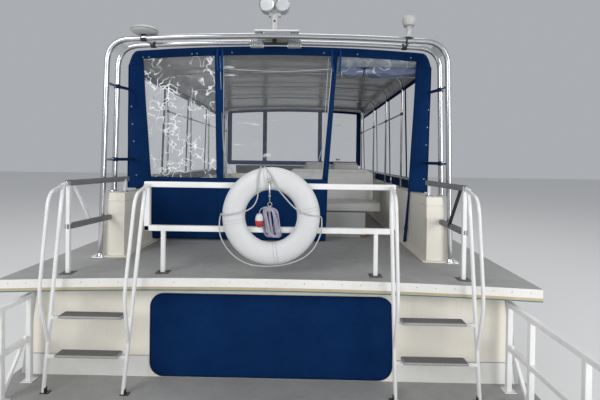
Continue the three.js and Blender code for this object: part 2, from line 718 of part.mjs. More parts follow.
function makeLadder(stringers) {
  const shapes = [];
  const head = UPPER_Z + RAIL_TOP;
  for (const stringer of stringers) {
    const [footX, , railX] = stringer;
    const at = (y, z) => [stringerX(stringer, z), y, z];
    const stringerHead = [railX, RAIL_Y - 75, head - 12];
    const rest = [railX, RAIL_Y - 26, head - 5];
    shapes.push(pipe([at(LADDER_Y, AFT_DECK_Z + GAP + 4), at(LADDER_Y, head - 120), stringerHead], 110,
      STRINGER_RADIUS));
    shapes.push(pipe([at(LADDER_Y, 1400), at(LADDER_HANDRAIL_Y, UPPER_Z - 90),
      at(LADDER_HANDRAIL_Y, head - 50), stringerHead], 110, HANDRAIL_RADIUS));
    shapes.push(bar([railX, RAIL_Y - 90, head - 14], rest, 32, 30));
    shapes.push(box(footX - 48, footX + 16, LADDER_Y - 22, LADDER_Y + 22, AFT_DECK_Z + GAP,
      AFT_DECK_Z + 6));
  }
  for (const rise of LADDER_TREADS) {
    const z = AFT_DECK_Z + rise;
    const [inner, outer] = stringers.map((stringer) => stringerX(stringer, z));
    shapes.push(box(inner, outer, LADDER_Y - 14, LADDER_Y + 14, z - 32, z - 4));
    shapes.push(box(inner + 52, outer - 80, LADDER_Y - 50, LADDER_Y + 50, z - 12, z + 12));
  }
  return join(...shapes);
}
add('ladder_starboard', makeLadder(STRINGERS_STARBOARD), 'tube');
add('ladder_port', mirrored(makeLadder(STRINGERS_PORT)), 'tube');

// Rails of the lower aft deck, with a gate in the middle of the stern
const LOWER_TOP = AFT_DECK_Z + 676;
const LOWER_MID = AFT_DECK_Z + 342;
const STERN_RAIL_Y = -6610;
const GATE_HALF = 400;
function makeLowerRail() {
  const post = 40;
  const shapes = [];
  for (const z of [LOWER_TOP, LOWER_MID]) {
    shapes.push(bar([1885, -5118, z], [1920, STERN_RAIL_Y, z], post));
    shapes.push(bar([1940, STERN_RAIL_Y, z], [GATE_HALF + 40, STERN_RAIL_Y, z], post));
  }
  const posts = [[1885, -5138], [1892, -5440], [1905, -6000], [1920, STERN_RAIL_Y], [1150, STERN_RAIL_Y],
    [GATE_HALF + 40, STERN_RAIL_Y]];
  for (const [x, y] of posts) {
    shapes.push(bar([x, y, AFT_DECK_Z + GAP], [x, y, LOWER_TOP + 15], post));
    shapes.push(box(x - 45, x + 45, y - 45, y + 45, AFT_DECK_Z + GAP, AFT_DECK_Z + 8));
  }
  shapes.push(bar([1886, -5180, LOWER_MID + 30], [1892, -5440, AFT_DECK_Z + 30], 25));
  return shapes;
}

const GATE_PIN = [-GATE_HALF - 8, STERN_RAIL_Y - 31];
const GATE_KNUCKLES = [AFT_DECK_Z + 150, AFT_DECK_Z + 600];
const gateSpans = GATE_KNUCKLES.flatMap((z) => [[z - 60, z - 25 - GAP], [z + 25 + GAP, z + 60]]);
const gateTabs = gateSpans.map(([z0, z1]) => (
  box(-GATE_HALF - 45, GATE_PIN[0], GATE_PIN[1] - 3, STERN_RAIL_Y - 15, z0, z1)));
add('lower_rail_starboard', join(...makeLowerRail()), 'tube');
add('lower_rail_port', join(mirrored(join(...makeLowerRail())), ...gateTabs,
  ...standingBarrels(GATE_PIN, GATE_KNUCKLES, false)), 'tube');

function makeGate() {
  const stile = 36;
  const inside = GATE_HALF - 10;
  const rungs = [LOWER_TOP, LOWER_MID, AFT_DECK_Z + 80].map((z) => (
    bar([-inside + 5, STERN_RAIL_Y, z], [inside - 5, STERN_RAIL_Y, z], stile)));
  const stiles = [-1, 1].map((side) => {
    const x = (inside - 18) * side;
    return bar([x, STERN_RAIL_Y, AFT_DECK_Z + 60], [x, STERN_RAIL_Y, LOWER_TOP + 15], stile);
  });
  const tabs = GATE_KNUCKLES.map((z) => (
    box(GATE_PIN[0], -inside + 30, GATE_PIN[1] - 3, STERN_RAIL_Y - 15, z - 25, z + 25)));
  return join(...rungs, ...stiles, ...tabs, ...standingBarrels(GATE_PIN, GATE_KNUCKLES, true));
}
add('stern_gate', makeGate(), 'tube');

// Flybridge coaming: one moulding with two sides and a front, a banded cap at each end and a foot flange
const COAMING_IN = 1418;
const COAMING_FOOT = 1653;
const COAMING_HEAD = 1545;
const COAMING_LEAN = (COAMING_FOOT - COAMING_HEAD) / COAMING_TOP;
const COAMING_FORE_Y = 1130;
const FLANGE = 45;

// The coaming's outer form, grown outwards by an amount
function coamingForm(grow) {
  const low = UPPER_Z - 60;
  const high = UPPER_Z + COAMING_TOP + (grow > 0 ? BAND_PROUD : 0);
  const foot = COAMING_FOOT + 60 * COAMING_LEAN + grow;
  const head = COAMING_HEAD + grow;
  const aft = COAMING_AFT_Y - grow;
  const across = runY([[-foot, low], [foot, low], [head, high], [-head, high]], aft, 1300);
  const fore = COAMING_FORE_Y + grow;
  const along = runX([[aft, low], [fore, low], [fore - 90, high], [aft, high]], -1800, 1800);
  return common(across, along);
}

// Bands round each aft end: low, high, above the deck
const BAND_LENGTH = 240;
const BANDS = [[378, 496, 6], [501, COAMING_TOP + BAND_PROUD, BAND_PROUD]];

function makeCoaming() {
  const hollow = (half, fore) => box(-half, half, -5000, fore, UPPER_Z - 200, UPPER_Z + 800);
  const shapes = [cut(coamingForm(0), hollow(COAMING_IN, 900))];
  for (const [low, high, proud] of BANDS) {
    const slab = box(-1800, 1800, COAMING_AFT_Y - 40, COAMING_AFT_Y + BAND_LENGTH, UPPER_Z + low,
      UPPER_Z + high);
    shapes.push(cut(common(coamingForm(proud), slab), hollow(COAMING_IN - proud, 900)));
  }
  const skirt = common(coamingForm(FLANGE), box(-2000, 2000, -5000, 2000, UPPER_Z - 60, UPPER_Z - 12));
  shapes.push(cut(skirt, hollow(COAMING_IN - FLANGE, 898)));
  return seated(join(...shapes));
}
add('flybridge_coaming', makeCoaming(), 'cream');

// Grab rail inside the enclosure, on posts over each side of the coaming: y of each post
const GRAB_X = 1454;
const GRAB_HEIGHT = 705;
const GRAB_POSTS = [-3680, -2640, -1250, 120, 640];
const grabAt = (y, height = GRAB_HEIGHT) => [GRAB_X, y, UPPER_Z + height];
const grabRail = join(
  rod(grabAt(GRAB_POSTS[0] - 60), grabAt(GRAB_POSTS.at(-1) + 60), 16),
  ...GRAB_POSTS.map((y) => rod(grabAt(y, COAMING_TOP + GAP), grabAt(y), 12.5)),
);
addPair('grab_rail', grabRail, 'steel');

const SCREEN_TOP = 763;
const screen = runX([[960, UPPER_Z + COAMING_TOP + GAP], [950, UPPER_Z + COAMING_TOP + GAP],
  [848, UPPER_Z + SCREEN_TOP], [858, UPPER_Z + SCREEN_TOP]], -1290, 1290);
add('bridge_windscreen', screen, 'acrylic');

// Helm: console, wheel and bench
const consoleBody = seated(runX([[300, UPPER_Z - 60], [895, UPPER_Z - 60], [895, UPPER_Z + 530],
  [790, UPPER_Z + 800], [440, UPPER_Z + 800], [300, UPPER_Z + 560]], 250, 1250));
add('helm_console', consoleBody, 'plastic');

const WHEEL_X = 750;
const DASH_LENGTH = Math.hypot(140, 240);
const DASH_NORMAL = [-240 / DASH_LENGTH, 140 / DASH_LENGTH];
const DASH_MIDDLE = [370, UPPER_Z + 680];
function makeWheel() {
  const rim = new THREE.TorusGeometry(170, 13, 6, 20);
  const depth = 62 - GAP;
  const hub = new THREE.CylinderGeometry(34, 40, depth, 12).rotateX(Math.PI / 2);
  hub.translate(0, 0, depth / 2 + GAP);
  const spokes = [0, 1, 2].map((i) => (
    new THREE.BoxGeometry(150, 26, 8).translate(95, 0, 0).rotateZ(Math.PI / 2 + i * 2 * Math.PI / 3)));
  const ring = [rim, ...spokes].map((shape) => shape.translate(0, 0, 52));
  const wheel = join(hub, ...ring);
  const tilt = new THREE.Matrix4().makeBasis(new THREE.Vector3(1, 0, 0),
    new THREE.Vector3(0, DASH_NORMAL[1], -DASH_NORMAL[0]), new THREE.Vector3(0, ...DASH_NORMAL));
  return wheel.applyMatrix4(tilt).translate(WHEEL_X, ...DASH_MIDDLE);
}
add('steering_wheel', makeWheel(), 'black');

const bench = seated(runX([[-650, UPPER_Z - 60], [-150, UPPER_Z - 60], [-150, UPPER_Z + 440],
  [-540, UPPER_Z + 450], [-610, UPPER_Z + 860], [-690, UPPER_Z + 860]], 250, 1250));
add('helm_seat', bench, 'vinyl');

// Lounge that faces aft
const LOUNGE_Y = -3417;
const LOUNGE_TOP = 285;
const loungeBase = seated(box(60, 1000, LOUNGE_Y, LOUNGE_Y + 650, UPPER_Z - 60, UPPER_Z + LOUNGE_TOP));
add('lounge_base', loungeBase, 'plastic');
const loungeCushion = runX([[LOUNGE_Y, UPPER_Z + LOUNGE_TOP + GAP],
  [LOUNGE_Y + 700, UPPER_Z + LOUNGE_TOP + GAP], [LOUNGE_Y + 760, UPPER_Z + 784],
  [LOUNGE_Y + 620, UPPER_Z + 784], [LOUNGE_Y + 560, UPPER_Z + 399], [LOUNGE_Y, UPPER_Z + 399]], 40, 1185);
add('lounge_cushion', loungeCushion, 'vinyl');

// Canvas enclosure: bows, top and curtains
const CANOPY_LINE = [-1420, -1100, -730, -365, 0, 365, 730, 1100, 1420];
function canopyZ(x) {
  return UPPER_Z + CANOPY_CREST - CANOPY_FALL * (x / CANOPY_SHOULDER) ** 2;
}

// The rounded edge of the top: in from its side, down from its shoulder
const CANOPY_EDGE = [[0, 142], [21, 67], [56, 24]];

function canopyOutline(offset) {
  const shoulder = canopyZ(CANOPY_SHOULDER);
  const side = CANOPY_HALF - offset;
  const crest = CANOPY_LINE.map((x) => [x, canopyZ(x) - offset]);
  const edge = CANOPY_EDGE.map(([inwards, down]) => [side - inwards, shoulder - down]);
  return [...edge.map(([x, z]) => [-x, z]), ...crest, ...edge.reverse()];
}

function makeCanopy() {
  const section = [...canopyOutline(0), ...canopyOutline(CLOTH).reverse()];
  const top = runY(section, CURTAIN_TOP_Y - 20, CURTAIN_FORE_Y + 30);
  return cut(top, behindCurtain());
}

// The raked plane of the aft curtain
function curtainY(z) {
  return CURTAIN_TOP_Y + (CURTAIN_FOOT_Y - CURTAIN_TOP_Y) * (UPPER_Z + CANOPY_CREST - z) / CANOPY_CREST;
}

function behindCurtain() {
  const low = UPPER_Z - 100;
  const high = UPPER_Z + 2300;
  const proud = CLOTH + GAP * 3;
  return runX([[curtainY(low) + proud, low], [curtainY(high) + proud, high], [-6000, high], [-6000, low]],
    -3000, 3000);
}
add('canopy_top', makeCanopy(), 'canvas');

const BOWS = [-3100, -2050, -900, 740];
const BOW_RADIUS = 12.5;
const BOW_X = 1486;
function makeBows() {
  const foot = UPPER_Z + COAMING_TOP + GAP;
  const shapes = BOWS.map((y) => {
    const inner = CANOPY_LINE.slice(1, -1).reverse();
    const crest = inner.map((x) => [x, y, canopyZ(x) - CLOTH - BOW_RADIUS - GAP]);
    const knee = canopyZ(BOW_X - 90) - CLOTH - BOW_RADIUS - 6;
    const bend = [[BOW_X, y, knee - 90], [BOW_X - 25, y, knee - 30], [BOW_X - 90, y, knee]];
    const farBend = bend.map(([x, , z]) => [-x, y, z]).reverse();
    return tube([[BOW_X, y, foot], ...bend, ...crest, ...farBend, [-BOW_X, y, foot]], BOW_RADIUS, 6);
  });
  for (const side of [1, -1]) {
    const along = (y) => [BOW_X * side, y, UPPER_Z + 1500];
    shapes.push(rod(along(BOWS[0]), along(BOWS.at(-1)), 10, 6));
  }
  return join(...shapes);
}
add('canopy_frame', makeBows(), 'steel');

// Aft curtain: x, height above the upper deck, port side first; the door bay at starboard stands open
const DOOR_BAY = [[512, 12], [584, 1948], [1365, 1915], [1390, 12]];
const CURTAIN_HIP = 1585;
function makeAftCurtain() {
  const rim = canopyOutline(0).map(([x, z]) => [x, z - UPPER_Z]);
  const inside = COAMING_IN - 10;
  const foot = [[inside, 12], [inside, COAMING_TOP + 10], [CURTAIN_HIP, COAMING_TOP + 10]];
  const farFoot = foot.map(([x, z]) => [-x, z]);
  const sheet = [...farFoot, ...rim, ...[...foot].reverse(), ...[...DOOR_BAY].reverse()];
  const panel = new THREE.ExtrudeGeometry(outline(sheet), { depth: CLOTH, bevelEnabled: false });
  const rake = (CURTAIN_TOP_Y - CURTAIN_FOOT_Y) / CANOPY_CREST;
  const lean = new THREE.Matrix4().set(
    1, 0, 0, 0,
    0, rake, 1, CURTAIN_FOOT_Y,
    0, 1, 0, UPPER_Z,
    0, 0, 0, 1);
  return panel.applyMatrix4(lean);
}
add('aft_curtain', makeAftCurtain(), 'canvas');

// Side curtains lean out to the coaming's outer edge
const sideTop = canopyZ(CANOPY_SHOULDER) - CANOPY_EDGE[0][1] - 3;
const sideLow = UPPER_Z + COAMING_TOP - 15;
const SIDE_HEAD_X = 1522;
const SIDE_FOOT_X = 1556;
const sideSection = [[SIDE_FOOT_X, sideLow], [SIDE_FOOT_X + CLOTH, sideLow], [SIDE_HEAD_X + CLOTH, sideTop],
  [SIDE_HEAD_X, sideTop]];
const sideCurtain = cut(runY(sideSection, CURTAIN_TOP_Y - 200, CURTAIN_FORE_Y - 4), behindCurtain());
addPair('side_curtain', sideCurtain, 'canvas');

function makeFrontCurtain() {
  const rim = CANOPY_LINE.map((x) => [x, canopyZ(x) - CLOTH - GAP * 2]);
  const low = UPPER_Z + SCREEN_TOP + 6;
  const half = CANOPY_HALF - 50;
  const sheet = [[-half, low], [-half, sideTop], ...rim, [half, sideTop], [half, low]];
  return runY(sheet, CURTAIN_FORE_Y, CURTAIN_FORE_Y + CLOTH);
}
add('front_curtain', makeFrontCurtain(), 'canvas');

const ROLL_Z = UPPER_Z + 1830;
const ROLL_RADIUS = 65;
const ROLL_FROM_X = 628;
const ROLL_TO_X = 1390;
const ROLL_Y = curtainY(ROLL_Z) + CLOTH + ROLL_RADIUS + GAP;
const roll = rod([ROLL_FROM_X, ROLL_Y, ROLL_Z], [ROLL_TO_X, ROLL_Y, ROLL_Z], ROLL_RADIUS, 12);
add('rolled_door', roll, 'canvas');

// Arch: two hoops in tandem, joined at the corners, at the sides and over the crest
const CREST_Z = UPPER_Z + ARCH_CREST - ARCH_RADIUS;
const ARCH_BEND = 215;

function archHoop(y, radius = ARCH_RADIUS) {
  const half = [[ARCH_FOOT_HALF, UPPER_Z - 60], [ARCH_HALF, CREST_Z - ARCH_FALL],
    [ARCH_KNEE_X, CREST_Z - ARCH_KNEE_FALL]];
  const starboard = half.map(([x, z]) => [x, y, z]);
  const port = half.map(([x, z]) => [-x, y, z]).reverse();
  return pipe([...starboard, [0, y, CREST_Z], ...port], ARCH_BEND, radius, 10, 5);
}

function archX(z) {
  const part = (z - UPPER_Z + 60) / (CREST_Z - ARCH_FALL - UPPER_Z + 60);
  return ARCH_FOOT_HALF + (ARCH_HALF - ARCH_FOOT_HALF) * part;
}

// Top of the hoops at a place across the arch
function hoopTop(x) {
  const out = Math.abs(x);
  const beyond = Math.max(0, out - ARCH_KNEE_X) / (ARCH_HALF - ARCH_KNEE_X);
  const fall = ARCH_KNEE_FALL * Math.min(1, out / ARCH_KNEE_X) + (ARCH_FALL - ARCH_KNEE_FALL) * beyond;
  return CREST_Z + ARCH_RADIUS - fall;
}

// Ties between the hoops: heights above the deck at the legs, places across at the crest
const LEG_TIES = [890, 1605];
const CREST_TIE_X = 1225;
// Gusset plate in each bend: x, depth below the crest
const GUSSET = [[1470, 56], [1560, 143], [1551, 152], [1461, 65]];
const PLATE_HALF = 205;
const PLATE_RISE = 36;
const PLATE_THICK = 12;

function makeArch() {
  const shapes = [archHoop(ARCH_AFT_Y), archHoop(ARCH_FORE_Y)];
  for (const side of [1, -1]) {
    for (const rise of LEG_TIES) {
      const x = archX(UPPER_Z + rise) * side;
      shapes.push(rod([x, ARCH_AFT_Y, UPPER_Z + rise], [x, ARCH_FORE_Y, UPPER_Z + rise], 14));
    }
    const foot = side * ARCH_FOOT_HALF;
    shapes.push(box(foot - 50, foot + 50, ARCH_AFT_Y - 50, ARCH_AFT_Y + 50, UPPER_Z - 60,
      deckTop(ARCH_FOOT_HALF) + 26));
    const tie = hoopTop(CREST_TIE_X) - ARCH_RADIUS;
    shapes.push(bar([side * CREST_TIE_X, ARCH_AFT_Y, tie], [side * CREST_TIE_X, ARCH_FORE_Y, tie], 26));
    shapes.push(runY(GUSSET.map(([x, depth]) => [x * side, CREST_Z - depth]), ARCH_AFT_Y, ARCH_FORE_Y));
  }
  const plateFoot = CREST_Z + PLATE_RISE;
  shapes.push(box(-PLATE_HALF, PLATE_HALF, ARCH_AFT_Y - 30, ARCH_FORE_Y + 30, plateFoot,
    plateFoot + PLATE_THICK));
  for (const y of [ARCH_AFT_Y, ARCH_FORE_Y]) {
    shapes.push(box(-120, 120, y - 18, y + 18, CREST_Z, plateFoot + 2));
  }
  return seated(cut(join(...shapes), coamingForm(BAND_PROUD + GAP), coamingSkirt));
}

// The flange and the end bands, grown by the gap, that the legs stand clear of
const coamingSkirt = common(coamingForm(FLANGE + GAP),
  box(-2000, 2000, COAMING_AFT_Y - FLANGE - 1, 2000, UPPER_Z - 60, UPPER_Z - 12 + GAP));
add('arch', makeArch(), 'steel');

const PLATE_TOP = CREST_Z + PLATE_RISE + PLATE_THICK;

// A block that sits astride the aft hoop, under a fitting at x
function saddle(x) {
  const top = hoopTop(x);
  return box(x - 28, x + 28, ARCH_AFT_Y - 30, ARCH_AFT_Y + 16, top - 34, top + 8);
}
const grownHoop = archHoop(ARCH_AFT_Y, ARCH_RADIUS + GAP);

// A form turned about Z, from its radii and heights
function turned(profile, sides) {
  const points = profile.map(([radius, height]) => new THREE.Vector2(radius, height));
  return new THREE.LatheGeometry(points, sides).rotateX(Math.PI / 2);
}

// Flat disc antenna on a post, on the port shoulder of the arch
const DISC_X = -1230;
const DISC_FORM = [[0, 0], [16, 0], [16, 14], [70, 17], [112, 28], [124, 44], [112, 66], [60, 86], [0, 92]];
const disc = turned(DISC_FORM, 16).translate(DISC_X, ARCH_AFT_Y, hoopTop(DISC_X) - 4);
add('disc_antenna', cut(join(disc, saddle(DISC_X)), grownHoop), 'plastic');

// Remote searchlight on the centre plate
const LIGHT_X = -28;
function makeSearchlight() {
  const base = new THREE.CylinderGeometry(39, 44, 170, 12).rotateX(Math.PI / 2).translate(0, 0, 85);
  const yoke = new THREE.BoxGeometry(120, 60, 40).translate(0, 0, 180);
  const lamps = [-75, 75].map((x) => (
    new THREE.CylinderGeometry(70, 62, 150, 16).translate(x, 0, 255)));
  return join(base, yoke, ...lamps).translate(LIGHT_X, (ARCH_AFT_Y + ARCH_FORE_Y) / 2, PLATE_TOP + GAP);
}
add('searchlight', makeSearchlight(), 'plastic');

// Hailer horn at starboard
const HAILER_X = 1214;
const HAILER_FORM = [[0, 0], [50, 0], [50, 12], [24, 16], [22, 100], [44, 108], [58, 130], [64, 165],
  [60, 192], [0, 197]];
const hailer = turned(HAILER_FORM, 12).translate(HAILER_X, ARCH_AFT_Y, hoopTop(HAILER_X) - 4);
add('hailer', cut(join(hailer, saddle(HAILER_X)), grownHoop), 'plastic');

// Two deck floodlights under a bar between the hoops
const FLOOD_XS = [-196, 161];
const FLOOD_DROP = 40;
function makeFloodlights() {
  const z = CREST_Z - FLOOD_DROP;
  const y = ARCH_FORE_Y - 95;
  const lamps = FLOOD_XS.map((x) => box(x - 67, x + 67, y - 30, y + 30, z - 35, z + 34));
  const rail = box(FLOOD_XS[0], FLOOD_XS[1], y - 12, y + 12, z - 10, z + 10);
  const hanger = box(-50, -10, y - 12, y + 12, z, CREST_Z + PLATE_RISE - GAP);
  return join(...lamps, rail, hanger);
}
add('deck_floodlights', makeFloodlights(), 'steel');

// Life ring hung on the centre rail, with its line hank and float
const RING_X = 20;
const RING_Z = UPPER_Z + 470;
const RING_MEAN = 293;
const RING_HALF_WIDTH = 88;
const RING_HALF_DEPTH = 56;
const RING_STEPS = 12;
const RING_Y = RAIL_Y - RAIL_SIZE / 2 - GAP - RING_HALF_DEPTH;
const ringSection = [];
for (let i = 0; i <= RING_STEPS; i += 1) {
  const angle = i * 2 * Math.PI / RING_STEPS;
  const radius = RING_MEAN + RING_HALF_WIDTH * Math.cos(angle);
  ringSection.push(new THREE.Vector2(radius, RING_HALF_DEPTH * Math.sin(angle)));
}
add('life_ring', new THREE.LatheGeometry(ringSection, 28).translate(RING_X, RING_Y, RING_Z), 'plastic');

// The hank hangs inside the ring, against the rail behind it, with the float at its port side
const HANK_X = 20;
const HANK_HALF = 62;
const HANK_LOW = -185;
const HANK_HIGH = 70;
const HANK_Y = RAIL_Y - RAIL_SIZE / 2 - GAP;
const HANK_DEPTH = 50;
const hankShape = roundedPanel(HANK_HALF, HANK_LOW, HANK_HIGH, 50);
const hankOptions = { depth: HANK_DEPTH, bevelEnabled: false, curveSegments: 3 };
const hank = new THREE.ExtrudeGeometry(hankShape, hankOptions);
hank.rotateX(Math.PI / 2).translate(HANK_X, HANK_Y, RING_Z);
add('line_hank', hank, 'rope');

const FLOAT_RADIUS = 33;
const FLOAT_SIDES = 10;
const FLOAT_X = HANK_X - HANK_HALF - GAP - FLOAT_RADIUS * Math.cos(Math.PI / FLOAT_SIDES);
const FLOAT_Y = HANK_Y - HANK_DEPTH + 15;
const FLOAT_Z = [RING_Z - 92, RING_Z + 14];
add('line_float', rod(...FLOAT_Z.map((z) => [FLOAT_X, FLOAT_Y, z]), FLOAT_RADIUS, FLOAT_SIDES), 'red');

export default group;
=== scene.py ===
import json
import math

import bmesh
import bpy
from mathutils import Matrix, Vector


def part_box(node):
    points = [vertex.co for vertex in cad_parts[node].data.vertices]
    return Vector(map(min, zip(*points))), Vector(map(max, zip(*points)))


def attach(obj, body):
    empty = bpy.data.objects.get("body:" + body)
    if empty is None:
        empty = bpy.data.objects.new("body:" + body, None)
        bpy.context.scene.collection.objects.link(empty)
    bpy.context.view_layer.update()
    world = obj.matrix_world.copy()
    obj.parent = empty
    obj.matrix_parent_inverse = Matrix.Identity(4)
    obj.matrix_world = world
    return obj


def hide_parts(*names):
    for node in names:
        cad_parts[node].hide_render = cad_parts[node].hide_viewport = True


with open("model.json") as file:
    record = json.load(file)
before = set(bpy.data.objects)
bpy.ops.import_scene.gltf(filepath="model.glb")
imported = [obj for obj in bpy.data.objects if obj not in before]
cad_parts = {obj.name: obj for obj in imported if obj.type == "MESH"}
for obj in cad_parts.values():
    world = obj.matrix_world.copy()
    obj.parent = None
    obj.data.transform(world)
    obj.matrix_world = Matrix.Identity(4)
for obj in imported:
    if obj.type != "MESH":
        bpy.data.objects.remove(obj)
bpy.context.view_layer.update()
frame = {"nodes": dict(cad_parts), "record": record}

bl_info = {
    "name": "Houseboat dressing",
    "version": (1, 0, 0),
    "blender": (4, 5, 0),
    "location": "3D View > Sidebar > Houseboat",
    "description": "Finishes, canvas, rails, line and fittings for a packed houseboat",
    "category": "Object",
}

# Camera: where the photograph was taken from, in metres and radians, and its lens in pixels of the photograph
EYE = Vector((0.294, -8.3845, 2.8021))
YAW = 0.0165
PITCH = 0.0097
ROLL = 0.0131
LENS_PX = 415.7
PHOTO_WIDTH = 600
PHOTO_HEIGHT = 400
HORIZON_ROW = 162.43
SENSOR_MM = 36

# Places that the source gives too, in metres: +X starboard, +Y bow, +Z up from the waterline
AFT_DECK_Z = 1.013
UPPER_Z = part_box("upper_deck")[1].z
UPPER_HALF = 2.090
SEAL_CORNER = 0.060
UPPER_CROWN = 0.045
UPPER_AFT_Y = -5.223
UPPER_FORE_Y = 3.650
BULKHEAD_Y = -5.038
RAIL_Y = -5.070
RAIL_TOP = UPPER_Z + 0.700
RAIL_MID = UPPER_Z + 0.350
CENTRE_HALF = 0.980
CENTRE_LEG = 0.850
COAMING_TOP = UPPER_Z + 0.569
COAMING_IN = 1.418
COAMING_AFT_Y = -4.504
ARCH_AFT_Y = -4.538
ARCH_FORE_Y = -4.314
ARCH_HALF = 1.572
ARCH_FOOT_HALF = 1.622
ARCH_KNEE_X = 0.800
ARCH_KNEE_FALL = 0.014
ARCH_FALL = 0.050
ARCH_BEND = 0.215
CREST_Z = UPPER_Z + 2.053
CANOPY_CREST = UPPER_Z + 2.050
CANOPY_FALL = 0.053
CANOPY_SHOULDER = 1.420
CANOPY_HALF = 1.536
CANOPY_EDGE = 0.142
CURTAIN_TOP_Y = -4.200
CURTAIN_FOOT_Y = -3.800
CURTAIN_FORE_Y = 0.830
BOWS = (-3.100, -2.050, -0.900, 0.740)
BOW_X = 1.486
CURTAIN_HIP = 1.585
LADDER_Y = -5.301
HANDRAIL_Y = -5.468
TREADS = (0.297, 0.589)
SIDE_POSTS = {1: 1.548, -1: 1.620}
LOWER_TOP = AFT_DECK_Z + 0.676
LOWER_MID = AFT_DECK_Z + 0.342
STERN_RAIL_Y = -6.610
GATE_HALF = 0.400
RING = Vector((0.020, -5.1488, UPPER_Z + 0.470))
RING_MEAN = 0.293
RING_HALF_WIDTH = 0.088
RING_HALF_DEPTH = 0.056
SIDES = (1, -1)
SIDE_NAMES = {1: "starboard", -1: "port"}


class HouseboatSizes(bpy.types.PropertyGroup):
    """Sizes of the tubes, cloth and line that dress the houseboat"""

    hoop: bpy.props.FloatProperty(
        name="Arch tube radius", description="Radius of the two arch hoops",
        default=0.025, min=0.015, max=0.04, unit="LENGTH")
    stringer: bpy.props.FloatProperty(
        name="Ladder stringer radius", description="Radius of the ladders' side tubes",
        default=0.015, min=0.01, max=0.03, unit="LENGTH")
    handrail: bpy.props.FloatProperty(
        name="Handrail radius", description="Radius of the bent handrails",
        default=0.013, min=0.01, max=0.025, unit="LENGTH")
    rail: bpy.props.FloatProperty(
        name="Rail size", description="Side of the deck rails' square tube",
        default=0.045, min=0.03, max=0.06, unit="LENGTH")
    cloth: bpy.props.FloatProperty(
        name="Canvas thickness", description="Thickness of the canvas",
        default=0.0012, min=0.0005, max=0.004, unit="LENGTH")
    line: bpy.props.FloatProperty(
        name="Line diameter", description="Diameter of the throwing line on the life ring",
        default=0.008, min=0.006, max=0.012, unit="LENGTH")


def colour_property(name, description, value):
    return bpy.props.FloatVectorProperty(
        name=name, description=description, subtype="COLOR", size=4, min=0, max=1, default=(*value, 1))


class HouseboatColours(bpy.types.PropertyGroup):
    """Colours of the houseboat's finishes"""

    gelcoat: colour_property("Hull", "White of the hull's gelcoat", (0.72, 0.71, 0.67))
    cream: colour_property("House", "Cream of the house and the coaming", (0.80, 0.765, 0.68))
    deck: colour_property("Decks", "Grey of the non-skid decks", (0.380, 0.380, 0.370))
    tube: colour_property("Rails", "Paint of the rails, ladders and arch", (0.80, 0.80, 0.795))
    canvas: colour_property("Canvas", "Blue of the canvas", (0.0010, 0.020, 0.086))
    cushion: colour_property("Cushions", "Vinyl of the lounge and the seat", (0.56, 0.555, 0.54))
    rope: colour_property("Line", "Throwing line", (0.46, 0.44, 0.56))
    ring: colour_property("Life ring", "Life ring", (0.60, 0.605, 0.61))


def sizes():
    return bpy.context.scene.houseboat_sizes


def colours():
    return bpy.context.scene.houseboat_colours


# Shader nodes
def place_node(tree, kind, links=None, **settings):
    """A node with its settings, and its sockets linked or set by name or index."""
    made = tree.nodes.new(kind)
    for key, value in settings.items():
        setattr(made, key, value)
    for key, value in (links or {}).items():
        socket = made.inputs[key]
        if isinstance(value, bpy.types.NodeSocket):
            tree.links.new(value, socket)
        else:
            socket.default_value = value
    return made


def math_node(tree, operation, first, second=0.0):
    return place_node(tree, "ShaderNodeMath", {0: first, 1: second}, operation=operation).outputs[0]


def ramp(tree, value, low, high, to_low=0.0, to_high=1.0):
    """A value stretched from one range to another, smoothly and within its ends."""
    made = place_node(
        tree, "ShaderNodeMapRange",
        {"Value": value, "From Min": low, "From Max": high, "To Min": to_low, "To Max": to_high},
        interpolation_type="SMOOTHSTEP")
    return made.outputs["Result"]


def noise(tree, vector, scale, detail=3.0, roughness=0.55, **settings):
    made = place_node(
        tree, "ShaderNodeTexNoise",
        {"Vector": vector, "Scale": scale, "Detail": detail, "Roughness": roughness}, **settings)
    return made.outputs["Fac"]


def effect_group(name, pattern):
    """An effect that tints a colour where its mask is high, and puts out the mask as a height too."""
    tree = bpy.data.node_groups.new(name, "ShaderNodeTree")
    sockets = (
        ("Vector", "INPUT", "NodeSocketVector", None),
        ("Color", "INPUT", "NodeSocketColor", (1, 1, 1, 1)),
        ("Tint", "INPUT", "NodeSocketColor", (0, 0, 0, 1)),
        ("Scale", "INPUT", "NodeSocketFloat", 10.0),
        ("Amount", "INPUT", "NodeSocketFloat", 0.5),
        ("Color", "OUTPUT", "NodeSocketColor", None),
        ("Height", "OUTPUT", "NodeSocketFloat", None),
    )
    for label, way, kind, value in sockets:
        made = tree.interface.new_socket(label, in_out=way, socket_type=kind)
        if value is not None:
            made.default_value = value
    start = tree.nodes.new("NodeGroupInput")
    end = tree.nodes.new("NodeGroupOutput")
    scaled = place_node(tree, "ShaderNodeVectorMath", {0: start.outputs["Vector"]}, operation="SCALE")
    tree.links.new(start.outputs["Scale"], scaled.inputs["Scale"])
    mask = pattern(tree, scaled.outputs[0])
    share = math_node(tree, "MULTIPLY", mask, start.outputs["Amount"])
    mixed = place_node(
        tree, "ShaderNodeMix", {0: share, 6: start.outputs["Color"], 7: start.outputs["Tint"]},
        data_type="RGBA")
    tree.links.new(mixed.outputs[2], end.inputs["Color"])
    tree.links.new(mask, end.inputs["Height"])
    return tree


def clouds(tree, vector):
    return ramp(tree, noise(tree, vector, 1.0, 2.0), 0.35, 0.68)


def grain(tree, vector):
    return ramp(tree, noise(tree, vector, 1.0, 5.0, 0.7), 0.3, 0.7)


def speckle(tree, vector):
    cells = place_node(tree, "ShaderNodeTexVoronoi", {"Vector": vector, "Scale": 1.0}, feature="F1")
    return ramp(tree, cells.outputs["Distance"], 0.5, 0.15)


